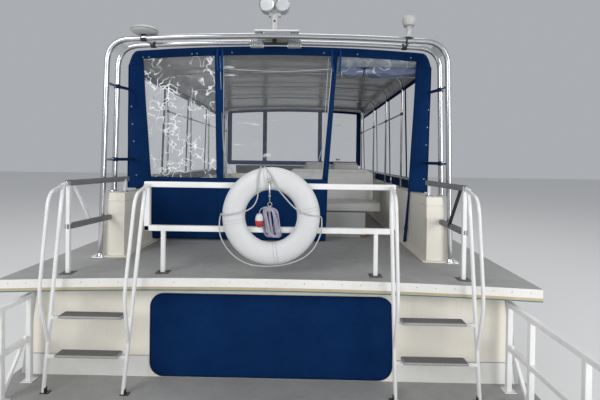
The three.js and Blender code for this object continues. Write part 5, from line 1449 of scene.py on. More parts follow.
class HOUSEBOAT_OT_canopy(PieceOperator, bpy.types.Operator):
    """Make the canopy, its bows and the grab rails under it"""

    bl_idname = "houseboat.canopy"
    bl_label = "Canopy"

    def make(self):
        self.cloth()
        self.bows()
        self.grab_rails()

    def cloth(self):
        fore = CURTAIN_FORE_Y + 0.030
        supports = (CURTAIN_TOP_Y, *BOWS)

        def place(u, v):
            out = lerp(-1.0, 1.0, u)
            x = math.copysign(abs(out) ** 0.94, out) * CANOPY_HALF
            z = canopy_z(x)
            aft = curtain_y(z) + 0.004
            y = lerp(aft, fore, v)
            gaps = [(a, b) for a, b in zip(supports, supports[1:]) if a <= y <= b]
            sag = 0.0
            if gaps:
                a, b = gaps[0]
                sag = 0.020 * math.sin(math.pi * (y - a) / (b - a)) ** 2 * (1 - (x / CANOPY_HALF) ** 4)
            ripple = 0.0022 * math.sin(x * 9 + y * 2.2) * math.sin(y * 5.1) * (1 - (x / CANOPY_HALF) ** 4)
            return Vector((x, y, z - 0.003 - sag - abs(ripple)))

        part = sheet(place, 72, 150)
        bmesh.ops.recalc_face_normals(part, faces=part.faces)
        if sum(face.normal.z for face in part.faces) < 0:
            bmesh.ops.reverse_faces(part, faces=part.faces)
        form = Form()
        form.take(part, "canopy_canvas")
        form.finishes.append("canopy_lining")
        cloth = form.finish("canopy_cloth", slot="blue_canvas", replaces=("canopy_top",), weighted=False)
        thicken(cloth, sizes().cloth * 1.5, -1.0, 1)
        arc = sum((Vector((a, 0, canopy_z(a))) - Vector((b, 0, canopy_z(b)))).length
                  for a, b in zip([lerp(-CANOPY_HALF, CANOPY_HALF, i / 60) for i in range(60)],
                                  [lerp(-CANOPY_HALF, CANOPY_HALF, (i + 1) / 60) for i in range(60)]))
        seams = Form()
        for x in (-0.52, 0.52):
            line = [Vector((x, y, canopy_z(x) - 0.0005)) for y in (lerp(-4.15, 0.84,
                                                                        i / 40) for i in range(41))]
            seams.take(tube(line, 0.0022, 6), "binding")
        for side in SIDES:
            z = canopy_z(CANOPY_HALF)
            line = [Vector((side * (CANOPY_HALF - 0.001), lerp(curtain_y(z) + 0.01, fore - 0.01, i / 40), z))
                    for i in range(41)]
            seams.take(tube(line, 0.0045, 8), "binding")
            seams.take(dots([(side * (CANOPY_HALF + 0.001), lerp(-4.0, 0.70, i / 22),
                              z + 0.035) for i in range(23)],
                            (side, 0, 0), 0.007, 0.004), "white_plastic")
        trim = seams.finish("canopy_seams", slot="blue_canvas", weighted=False)

    def bows(self):
        form = Form()
        for y in BOWS:
            crest = [Vector((x, y, canopy_z(x) - 0.008 - 0.0125 - 0.020)) for x in
                     (lerp(BOW_X - 0.11, 0.11 - BOW_X, i / 24) for i in range(25))]
            knee = crest[0].z
            bend = [Vector((BOW_X, y, COAMING_TOP + 0.001)), Vector((BOW_X, y, knee - 0.150)),
                    Vector((BOW_X - 0.008, y, knee - 0.085)), Vector((BOW_X - 0.030, y, knee - 0.036)),
                    Vector((BOW_X - 0.066, y, knee - 0.010))]
            far = [Vector((-p.x, p.y, p.z)) for p in reversed(bend)]
            form.take(tube(bend + crest + far, 0.0125, 14), "stainless")
            for side in SIDES:
                form.take(lathe(((0.0125, 0), (0.030, 0), (0.030, 0.003), (0.017, 0.006), (0.016, 0.030),
                                 (0.0125, 0.031)), (BOW_X * side, y, COAMING_TOP + 0.001), (0, 0, 1), 20),
                                 "stainless")
                form.take(lathe(((0.0125, -0.018), (0.017, -0.018), (0.017, 0.018), (0.0125, 0.018)),
                                (BOW_X * side, y, UPPER_Z + 1.500), (0, 0, 1), 16), "black_plastic")
        for side in SIDES:
            form.take(tube([(BOW_X * side, BOWS[0], UPPER_Z + 1.500),
                            (BOW_X * side, BOWS[-1], UPPER_Z + 1.500)],
                           0.010, 12), "stainless")
        form.finish("canopy_bows", slot="stainless", replaces=("canopy_frame",), weighted=False)

    def grab_rails(self):
        posts = (-3.680, -2.640, -1.250, 0.120, 0.640)
        z = UPPER_Z + 0.705
        for side in SIDES:
            form = Form()
            x = 1.454 * side
            run = [(x, posts[0] - 0.060, z - 0.010), (x, posts[0] - 0.048, z), (x, posts[-1] + 0.048, z),
                   (x, posts[-1] + 0.060, z - 0.010)]
            form.take(tube(run, 0.016, 16), "stainless")
            for y in posts:
                form.take(tube([(x, y, COAMING_TOP + 0.001), (x, y, z)], 0.0115, 12), "stainless")
                form.take(lathe(((0.0115, 0), (0.026, 0), (0.025, 0.004), (0.0115, 0.010)),
                                (x, y, COAMING_TOP + 0.001), (0, 0, 1), 18), "stainless")
                form.take(lathe(((0.016, -0.022), (0.0185, -0.020), (0.0185, 0.020), (0.016, 0.022)),
                                (x, y, z),
                                (0, 1, 0), 16), "stainless")
            name = SIDE_NAMES[side]
            form.finish(f"grab_rail_tube_{name}", slot="stainless", replaces=(f"grab_rail_{name}",),
                        weighted=False)


DIVIDER = ((-0.687, -0.598), (-0.652, -0.565))
# Strip beside the open door: x of its two edges at the foot, at the window's foot and at the head
DOOR_STRIP_FOOT = (0.450, 0.512)
DOOR_STRIP_MID = (0.460, 0.522)
DOOR_STRIP_HEAD = (0.545, 0.592)
HIPS = {1: CURTAIN_HIP, -1: 1.645}
BORDER_IN = 1.385
PANEL_TOP_Z = 2.580
VALANCE = 0.084
# Snaps of the aft valance: x, z
SNAPS = ((-1.385, 3.808), (-1.324, 3.812), (-0.883, 3.845), (-0.832, 3.849), (-0.477, 3.862), (0.452, 3.867),
         (0.789, 3.856), (1.326, 3.827))
CURTAIN_FOOT_Z = UPPER_Z + 0.014


class HOUSEBOAT_OT_aft_curtain(PieceOperator, bpy.types.Operator):
    """Make the aft curtain: canvas borders, clear windows, the open door bay and its rolled-up panel"""

    bl_idname = "houseboat.aft_curtain"
    bl_label = "Aft curtain"

    def on_plane(self, x, z, out=0.0):
        """A place on the raked plane, with the cloth's slow waves."""
        wave = 0.004 * math.sin(7.0 * x + 2.1) * math.sin(4.2 * z) + 0.0018 * math.sin(23 * x + 11 * z)
        return Vector((x, curtain_y(z) + 0.004 - out + wave, z))

    def strip(self, low_line, high_line, across=6, along=40, out=0.0):
        """A band of canvas between two ends, each a pair of (x, z) places."""
        def place(u, v):
            x = lerp(lerp(low_line[0][0], low_line[1][0], u), lerp(high_line[0][0], high_line[1][0], u), v)
            z = lerp(lerp(low_line[0][1], low_line[1][1], u), lerp(high_line[0][1], high_line[1][1], u), v)
            return self.on_plane(x, z, out)
        return sheet(place, across, along)

    def rounded_edge(self, canvas, side, shoulder):
        """The canvas between the border's straight head and the canopy's rounded corner."""
        foot = shoulder - CANOPY_EDGE

        def place(u, v):
            x = lerp(CANOPY_SHOULDER, CANOPY_HALF, v)
            rim = canopy_z(x) - 0.004
            chord = lerp(shoulder - 0.004, foot, v)
            return self.on_plane(side * x, lerp(chord, max(chord, rim), u))
        canvas.take(sheet(place, 3, 16), "blue_canvas")

    def make(self):
        canvas = Form()
        hip = COAMING_TOP + 0.011
        inner = COAMING_IN - 0.010
        shoulder = canopy_z(CANOPY_SHOULDER)
        for side in SIDES:
            edge_low, edge_mid, edge_high = HIPS[side] * side, CANOPY_HALF * side, CANOPY_SHOULDER * side
            border = BORDER_IN * side
            canvas.take(self.strip(((border, hip), (edge_low, hip)), ((border, shoulder - CANOPY_EDGE),
                        (edge_mid, shoulder - CANOPY_EDGE)), 8, 60), "blue_canvas")
            canvas.take(self.strip(((border, shoulder - CANOPY_EDGE), (edge_mid, shoulder - CANOPY_EDGE)),
                                   ((border, shoulder - 0.010), (edge_high, shoulder - 0.004)), 8, 8),
                                   "blue_canvas")
            self.rounded_edge(canvas, side, shoulder)

        def valance(u, v):
            x = lerp(-CANOPY_SHOULDER, CANOPY_SHOULDER, u)
            z = canopy_z(x) - 0.004 - VALANCE * (1 - v)
            return self.on_plane(x, z, 0.002)
        canvas.take(sheet(valance, 80, 6), "blue_canvas")
        top = canopy_z(0.6) - 0.050
        canvas.take(self.strip(((DIVIDER[0][0], CURTAIN_FOOT_Z + 0.02),
                                (DIVIDER[0][1], CURTAIN_FOOT_Z + 0.02)),
                               ((DIVIDER[1][0], top), (DIVIDER[1][1], top)), 4, 60, 0.003), "blue_canvas")
        canvas.take(self.strip(((DOOR_STRIP_MID[0], PANEL_TOP_Z), (DOOR_STRIP_MID[1], PANEL_TOP_Z)),
                               ((DOOR_STRIP_HEAD[0], top), (DOOR_STRIP_HEAD[1], top)), 3, 40, 0.003),
                               "blue_canvas")
        canvas.take(self.strip(((-inner, CURTAIN_FOOT_Z), (DOOR_STRIP_FOOT[1], CURTAIN_FOOT_Z)),
                               ((-inner, PANEL_TOP_Z), (DOOR_STRIP_MID[1], PANEL_TOP_Z)), 60, 24),
                               "blue_canvas")
        canvas.take(self.strip(((1.362, CURTAIN_FOOT_Z + 0.005), (1.400, CURTAIN_FOOT_Z + 0.005)),
                               ((1.385, hip + 0.010), (inner, hip + 0.010)), 3, 20), "blue_canvas")
        curtain = canvas.finish("aft_curtain_canvas", slot="blue_canvas", replaces=("aft_curtain",),
                                weighted=False)
        thicken(curtain, sizes().cloth)
        vinyl = self.windows(top)
        trims = self.trims()
        self.rolled_panel()

    def windows(self, top):
        """Clear vinyl between the borders, creased and bellied."""
        form = Form()
        bays = (((-BORDER_IN - 0.01, DIVIDER[0][0] + 0.01), (-BORDER_IN - 0.01, DIVIDER[1][0] + 0.01)),
                ((DIVIDER[0][1] - 0.01, DOOR_STRIP_MID[0] + 0.01),
                 (DIVIDER[1][1] - 0.01, DOOR_STRIP_HEAD[0] + 0.01)))
        for bay, (foot, head) in enumerate(bays):
            def place(u, v, foot=foot, head=head, bay=bay):
                z = lerp(PANEL_TOP_Z - 0.01, top - 0.02, v)
                x = lerp(lerp(*foot, u), lerp(*head, u), v)
                belly = 0.030 * math.sin(math.pi * u) * math.sin(math.pi * v)
                wrinkle = 0.009 * math.sin(13 * u + 7 * v + bay) * math.sin(math.pi * u) * math.sin(5.3 * v + u)
                return self.on_plane(x, z, -0.006 - belly - wrinkle)
            form.take(sheet(place, 48, 60), ("creased_vinyl", "clear_vinyl")[bay])
        return form.finish("aft_curtain_vinyl", slot="tinted_glass", weighted=False)

    def trims(self):
        """Bindings, zips, snaps and hanging straps on the aft curtain."""
        form = Form()
        top = canopy_z(0.6) - 0.09

        def run(a, b, radius, name, out=0.004):
            points = [self.on_plane(lerp(a[0], b[0], i / 24), lerp(a[1], b[1], i / 24),
                                    out) for i in range(25)]
            form.take(tube(points, radius, 6), name)

        for side in SIDES:
            run((side * HIPS[side], COAMING_TOP + 0.012), (side * CANOPY_HALF, canopy_z(CANOPY_HALF)), 0.003,
                "binding")
        run((-BORDER_IN, PANEL_TOP_Z), (-BORDER_IN, top), 0.0025, "binding")
        run((BORDER_IN, COAMING_TOP + 0.01), (BORDER_IN, top), 0.0025, "binding")
        run((-BORDER_IN, PANEL_TOP_Z), (DOOR_STRIP_MID[1], PANEL_TOP_Z), 0.0025, "binding")
        run((DIVIDER[0][1] + 0.003, PANEL_TOP_Z), (DIVIDER[1][1] + 0.003, top), 0.003, "white_plastic")
        run((DOOR_STRIP_MID[0] - 0.003, PANEL_TOP_Z), (DOOR_STRIP_HEAD[0] - 0.003, top), 0.0045,
            "white_plastic", 0.007)
        run((0.030, CURTAIN_FOOT_Z), (0.030, PANEL_TOP_Z), 0.002, "binding")
        self.zips(form, top)
        self.straps(form)
        snaps = [self.on_plane(x, z, 0.004) for x, z in SNAPS]
        snaps += [self.on_plane(side * 1.54, lerp(2.60, 3.50, i / 5),
                                0.004) for side in SIDES for i in range(6)]
        form.take(dots(snaps, (0, -1, 0), 0.0065, 0.004), "white_plastic")
        form.take(bar((1.362, curtain_y(2.057) - 0.008, 2.057), (1.402, curtain_y(2.057) - 0.008, 2.057),
                      0.004, 0.030,
                      0.001), "binding")
        return form.finish("aft_curtain_trims", slot="blue_canvas", weighted=False)

    def zips(self, form, top):
        """The pale zip round the foot of the centre window, with round lower corners."""
        line = [(-0.600, top), (-0.592, 2.960), (-0.585, 2.880), (-0.546, 2.732), (-0.442, 2.615),
                (-0.250, 2.594),
                (0.0, 2.590), (0.200, 2.592), (0.330, 2.622), (0.402, 2.745), (0.442, 2.873), (0.462, 2.990),
                (0.500, top)]
        path = smooth_run([self.on_plane(x, z, 0.005) for x, z in line], 6)
        form.take(tube(path, 0.0035, 6), "zip_tape")

    def straps(self, form):
        """Looped straps of the rolled door, and the cord that sags between them."""
        for x0, x1, foot in ((-0.632, -0.560, 3.672), (0.524, 0.626, 3.664)):
            middle, half = (x0 + x1) / 2, (x1 - x0) / 2 - 0.010
            z = canopy_z(middle) - 0.030
            loop = [Vector((middle - half, curtain_y(z) - 0.012, z)),
                    Vector((middle - half, curtain_y(z) - 0.020,
                    lerp(z, foot, 0.6))), Vector((middle - half * 0.5, curtain_y(z) - 0.022, foot)),
                    Vector((middle + half * 0.5, curtain_y(z) - 0.022, foot)),
                    Vector((middle + half, curtain_y(z) -
                    0.020, lerp(z, foot, 0.6))), Vector((middle + half, curtain_y(z) - 0.012, z))]
            path = smooth_run(loop, 5)
            for a, b in zip(path, path[1:]):
                form.take(bar(a, b, 0.020, 0.002, 0.0), "strap_blue")
        sag = smooth_run([self.on_plane(x, z, 0.010) for x, z in
                          ((-0.572, 3.707), (-0.30, 3.690), (0.009, 3.683), (0.28, 3.692), (0.516, 3.712))],
                          6)
        form.take(tube(sag, 0.0042, 8), "grab_cord")

    def rolled_panel(self):
        """The door panel rolled up at the head of its bay, cinched near its port end."""
        form = Form()
        z = UPPER_Z + 1.828
        y = curtain_y(z) + 0.075
        x0, x1 = 0.630, 1.388
        cinch = 0.865

        def place(u, v):
            x = lerp(x0, x1, u)
            angle = math.tau * v
            squeeze = 1 - 0.30 * math.exp(-((x - cinch) / 0.050) ** 2)
            r = 0.060 * squeeze * (1 + 0.05 * math.sin(11 * u + 3 * angle) + 0.03 * math.sin(5 * angle + 17 * u))
            return Vector((x, y + r * 1.02 * math.cos(angle), z + r * math.sin(angle)
                           - 0.006 * math.sin(math.pi * u)))
        part = sheet(place, 90, 32)
        bmesh.ops.remove_doubles(part, verts=part.verts, dist=1e-5)
        form.take(part, "clear_vinyl_roll")
        for end in (x0, x1):
            spiral = []
            for i in range(90):
                r = 0.006 + 0.050 * i / 89
                angle = math.tau * 3.2 * i / 89
                spiral.append((end, y + r * math.cos(angle), z + r * math.sin(angle)))
            form.take(tube(spiral, 0.0034, 6), "canopy_lining")

        def flap(u, v):
            x = lerp(x0 - 0.006, x1 + 0.004, u)
            high = canopy_z(x) - VALANCE + 0.010
            low = z + 0.030
            bow = 0.014 * math.sin(math.pi * v)
            return Vector((x, lerp(y - 0.052, curtain_y(high) + 0.010, v) - bow + 0.003 * math.sin(31 * u),
                           lerp(low, high, v)))
        form.take(sheet(flap, 40, 8), "roll_band")
        ring = [Vector((cinch, y + 0.046 * math.cos(math.tau * i / 20),
                        z + 0.046 * math.sin(math.tau * i / 20)))
                for i in range(20)]
        form.take(tube(ring, 0.005, 6, closed=True), "blue_canvas")
        roll = form.finish("rolled_door_panel", slot="blue_canvas", replaces=("rolled_door",), weighted=False)


class HOUSEBOAT_OT_side_curtains(PieceOperator, bpy.types.Operator):
    """Make the side and front curtains with their clear windows"""

    bl_idname = "houseboat.side_curtains"
    bl_label = "Side and front curtains"

    FOOT_Z = COAMING_TOP - 0.013
    HEAD_Z = CANOPY_CREST - CANOPY_FALL - CANOPY_EDGE - 0.003
    HEADERS = {1: 0.045, -1: 0.075}
    FOOT_X = 1.560
    HEAD_X = 1.526

    def make(self):
        for side in SIDES:
            self.side(side)
        self.front()

    def side_place(self, side, y, z, out=0.0):
        x = lerp(self.FOOT_X, self.HEAD_X, (z - self.FOOT_Z) / (self.HEAD_Z - self.FOOT_Z))
        wave = 0.0035 * math.sin(5.1 * y + 2 * z) * math.sin(math.pi * (z - self.FOOT_Z) / (self.HEAD_Z - self.FOOT_Z))
        return Vector((side * (x + out + wave), y, z))

    def side(self, side):
        canvas, vinyl = Form(), Form()
        fore = CURTAIN_FORE_Y - 0.006

        def aft_edge(z):
            return curtain_y(z) + 0.014

        def band(y0, y1, z0, z1, across, along):
            def place(u, v):
                z = lerp(z0, z1, v)
                low = y0(z) if callable(y0) else y0
                high = y1(z) if callable(y1) else y1
                return self.side_place(side, lerp(low, high, u), z)
            return sheet(place, across, along)

        header = self.HEAD_Z - self.HEADERS[side]
        canvas.take(band(aft_edge, fore, header, self.HEAD_Z, 120, 4), "blue_canvas")
        canvas.take(band(aft_edge, fore, self.FOOT_Z, self.FOOT_Z + 0.150, 120, 4), "blue_canvas")
        uprights = [(aft_edge, lambda z: curtain_y(z) + 0.130)]
        uprights += [(y - 0.035, y + 0.035) for y in BOWS[:-1]]
        uprights += [(fore - 0.110, fore)]
        for low, high in uprights:
            canvas.take(band(low, high, self.FOOT_Z + 0.150, header, 3, 40), "blue_canvas")
        bays = [(lambda z: curtain_y(z) + 0.120, BOWS[0] - 0.025)]
        bays += [(a + 0.025, b - 0.025) for a, b in zip(BOWS, BOWS[1:-1])]
        bays += [(BOWS[2] + 0.025, fore - 0.100)]
        for low, high in bays:
            vinyl.take(band(low, high, self.FOOT_Z + 0.140, header + 0.010, 24, 30), "clear_vinyl")
        name = SIDE_NAMES[side]
        cloth = canvas.finish(f"side_canvas_{name}", slot="blue_canvas", replaces=(f"side_curtain_{name}",),
                              weighted=False)
        thicken(cloth, sizes().cloth)
        clear = vinyl.finish(f"side_vinyl_{name}", slot="tinted_glass", weighted=False)
        length, height = fore - aft_edge(self.FOOT_Z), self.HEAD_Z - self.FOOT_Z

    def front(self):
        canvas, vinyl = Form(), Form()
        y = CURTAIN_FORE_Y + 0.004
        low, half = UPPER_Z + 0.772, 1.478
        head = self.HEAD_Z

        def place_at(x, z):
            return Vector((x, y + 0.003 * math.sin(6 * x + 3 * z), z))

        def band(x0, x1, z0, z1, across, along):
            def place(u, v):
                x = lerp(x0, x1, u)
                low_z, high_z = (z(x) if callable(z) else z for z in (z0, z1))
                return place_at(x, lerp(low_z, high_z, v))
            return sheet(place, across, along)

        def crown(x):
            return canopy_z(x) - 0.012

        def header(x):
            return min(head, canopy_z(x)) - 0.012 if abs(x) > CANOPY_SHOULDER else crown(x) - 0.085

        canvas.take(band(-half, half, header, crown, 60, 5), "blue_canvas")
        canvas.take(band(-half, half, low, low + 0.090, 60, 3), "blue_canvas")
        uprights = ((-half, -half + 0.10), (-0.690, -0.600), (0.530, 0.620), (half - 0.10, half))
        for x0, x1 in uprights:
            canvas.take(band(x0, x1, low + 0.090, header, 3, 30), "blue_canvas")
        for (_, x0), (x1, _) in zip(uprights, uprights[1:]):
            vinyl.take(band(x0 - 0.01, x1 + 0.01, low + 0.08, lambda x: header(x) + 0.010, 24, 24),
                       "clear_vinyl")
        cloth = canvas.finish("front_canvas", slot="blue_canvas", replaces=("front_curtain",), weighted=False)
        thicken(cloth, sizes().cloth)
        clear = vinyl.finish("front_vinyl", slot="tinted_glass", weighted=False)
        flat = (2 * half, crown(0) - low)


LOUNGE_Y = -3.417
LOUNGE_TOP = UPPER_Z + 0.285


def cushion(low, high, crown, cuts=14):
    """A stuffed block: crowned faces, soft edges, and corners that hold while the sides pull in."""
    part = bmesh.new()
    bmesh.ops.create_cube(part, size=2.0)
    bmesh.ops.subdivide_edges(part, edges=part.edges, cuts=cuts, use_grid_fill=True)
    low, high = Vector(low), Vector(high)
    middle, half = (low + high) / 2, (high - low) / 2
    thin = min(half)
    soft = min(0.45, 0.030 / thin)
    for vert in part.verts:
        a = vert.co.copy()
        near = [1 - abs(value) for value in a]
        fill = [math.sqrt(max(0.0, 1 - (1 - min(1, n / soft_n)) ** 2)) for n, soft_n in
                zip(near, (0.03 / half.x, 0.03 / half.y, soft))]
        place = Vector()
        for axis in range(3):
            others = [i for i in range(3) if i != axis]
            swell = (1 - a[others[0]] ** 4) * (1 - a[others[1]] ** 4)
            edge = 1 - 0.030 / half[axis] * (1 - fill[others[0]] * fill[others[1]]) if abs(a[axis]) > 0.999 else 1
            grow = crown if half[axis] == thin else crown * 0.25
            place[axis] = a[axis] * (half[axis] * edge - (grow if abs(a[axis]) > 0.999 else 0) * (1 - swell))
        vert.co = middle + place
    return part


class HOUSEBOAT_OT_cushions(PieceOperator, bpy.types.Operator):
    """Make the lounge's and the helm seat's cushions"""

    bl_idname = "houseboat.cushions"
    bl_label = "Cushions"

    def make(self):
        self.lounge()
        self.helm_seat()

    def piping(self, form, low, high, at_x, radius=0.004):
        """Piping round an end face of a cushion, at a place across."""
        inset = 0.012
        corners = [(at_x, low[1] + inset, low[2] + inset), (at_x, high[1] - inset, low[2] + inset),
                   (at_x, high[1] - inset, high[2] - inset), (at_x, low[1] + inset, high[2] - inset)]
        loop = eased(corners + corners[:2], 0.030, 5)
        form.take(tube(loop[6:-1], radius, 8), "cream_vinyl")

    def lounge(self):
        form = Form()
        seat_low, seat_high = (0.040, LOUNGE_Y, LOUNGE_TOP + 0.001), (1.185, LOUNGE_Y + 0.560,
                                                                      LOUNGE_TOP + 0.114)
        form.take(cushion(seat_low, seat_high, 0.010), "cream_vinyl")
        back_low = Vector((0.040, LOUNGE_Y + 0.560, LOUNGE_TOP + 0.010))
        back_high = Vector((1.185, LOUNGE_Y + 0.700, UPPER_Z + 0.784))
        part = cushion(back_low, back_high, 0.012)
        rake = 0.060 / (back_high.z - back_low.z)
        for vert in part.verts:
            vert.co.y += (vert.co.z - back_low.z) * rake
        form.take(part, "cream_vinyl")
        piece = form.finish("lounge_pads", slot="cream_vinyl", replaces=("lounge_cushion",), weighted=False)
        piped = Form()
        self.piping(piped, back_low, (1.185, back_high.y + 0.030, back_high.z), 1.107)
        piped.take(tube(eased([(0.055, LOUNGE_Y + 0.004, LOUNGE_TOP + 0.108),
                               (1.172, LOUNGE_Y + 0.004, LOUNGE_TOP +
                        0.108), (1.180, LOUNGE_Y + 0.540, LOUNGE_TOP + 0.108)], 0.02), 0.004, 8),
                        "cream_vinyl")
        piped.take(block((0.062, LOUNGE_Y - 0.004, UPPER_Z + 0.012), (0.998, LOUNGE_Y, LOUNGE_TOP - 0.02),
                         0.002),
                   "white_plastic")
        piped.take(block((0.940, LOUNGE_Y - 0.020, deck_top(1.0) + 0.001),
                         (1.010, LOUNGE_Y - 0.006, deck_top(1.0) +
                         0.030), 0.003), "wood")
        piped.finish("lounge_trim", slot="cream_vinyl")

    def helm_seat(self):
        form = Form()
        form.take(block((0.270, -0.630, UPPER_Z), (1.230, -0.170, UPPER_Z + 0.330), 0.020, 3),
                  "white_plastic")
        form.finish("helm_seat_base", slot="white_plastic")
        pads = Form()
        for x0 in (0.252, 0.756):
            pads.take(cushion((x0, -0.600, UPPER_Z + 0.331), (x0 + 0.492, -0.150, UPPER_Z + 0.440), 0.014),
                      "cream_vinyl")
            part = cushion((x0, -0.690, UPPER_Z + 0.430), (x0 + 0.492, -0.570, UPPER_Z + 0.858), 0.014)
            for vert in part.verts:
                vert.co.y += 0.045 - (vert.co.z - UPPER_Z - 0.430) * 0.100
            pads.take(part, "cream_vinyl")
        piece = pads.finish("helm_seat_pads", slot="cream_vinyl", replaces=("helm_seat",), weighted=False)


class HOUSEBOAT_OT_helm(PieceOperator, bpy.types.Operator):
    """Make the helm's wheel, gauges and levers, and the windscreen's frame"""

    bl_idname = "houseboat.helm"
    bl_label = "Helm"

    def make(self):
        length = math.hypot(0.140, 0.240)
        normal = Vector((0, -0.240 / length, 0.140 / length))
        middle = Vector((0.750, 0.370, UPPER_Z + 0.680))
        tilt = Vector((0, 0, 1)).rotation_difference(normal).to_matrix().to_4x4()
        place = Matrix.Translation(middle) @ tilt
        wheel = Form()
        rim = [Vector((0.170 * math.cos(math.tau * i / 48), 0.170 * math.sin(math.tau * i / 48), 0.052))
               for i in range(48)]
        wheel.take(tube(rim, 0.013, 14, closed=True), "black_plastic", matrix=place)
        for spoke in range(3):
            angle = math.pi / 2 + spoke * math.tau / 3
            out = Vector((math.cos(angle), math.sin(angle), 0))
            wheel.take(bar(out * 0.025 + Vector((0, 0, 0.052)), out * 0.162 + Vector((0, 0, 0.052)), 0.026,
                           0.007,
                           0.002), "stainless", matrix=place)
        wheel.take(lathe(((0, 0.001), (0.038, 0.001), (0.034, 0.055), (0.026, 0.062), (0, 0.064))),
                   "black_plastic",
                   matrix=place)
        wheel.finish("wheel_rim_and_hub", body="steering_wheel", slot="black_plastic",
                     replaces=("steering_wheel",),
                     weighted=False)
        helm = Form()
        for x in (0.380, 0.480, 1.020, 1.120):
            dial = Matrix.Translation(Vector((x, 0.370, UPPER_Z + 0.680))) @ tilt
            helm.take(lathe(((0.030, 0.001), (0.042, 0.001), (0.042, 0.006), (0.036, 0.008), (0.034, 0.004),
                             (0, 0.004)), steps=28), "gauge_face", matrix=dial)
        for x in (0.930, 0.975):
            helm.take(tube([(x, 0.520, UPPER_Z + 0.800), (x, 0.500, UPPER_Z + 0.900)], 0.006, 10),
                      "stainless")
            helm.take(lathe(((0, 0.030), (0.014, 0.026), (0.017, 0.012), (0.012, 0), (0, 0)),
                            (x, 0.500, UPPER_Z + 0.898), (0, -0.2, 1), 20), "black_plastic")
        compass = (0.750, 0.600, UPPER_Z + 0.801)
        helm.take(lathe(((0, 0.070), (0.030, 0.062), (0.048, 0.036), (0.052, 0.010), (0.060, 0.008),
                         (0.060, 0),
                         (0, 0)), compass, (0, 0, 1), 28), "black_plastic")
        for a, b in (((-1.290, 0.955), (1.290, 0.955)),):
            helm.take(bar((a[0], a[1], COAMING_TOP + 0.008), (b[0], b[1], COAMING_TOP + 0.008), 0.022, 0.014,
                          0.003),
                      "stainless")
        helm.take(bar((-1.290, 0.853, UPPER_Z + 0.757), (1.290, 0.853, UPPER_Z + 0.757), 0.016, 0.010, 0.003),
                  "stainless")
        helm.finish("helm_fittings", slot="black_plastic")


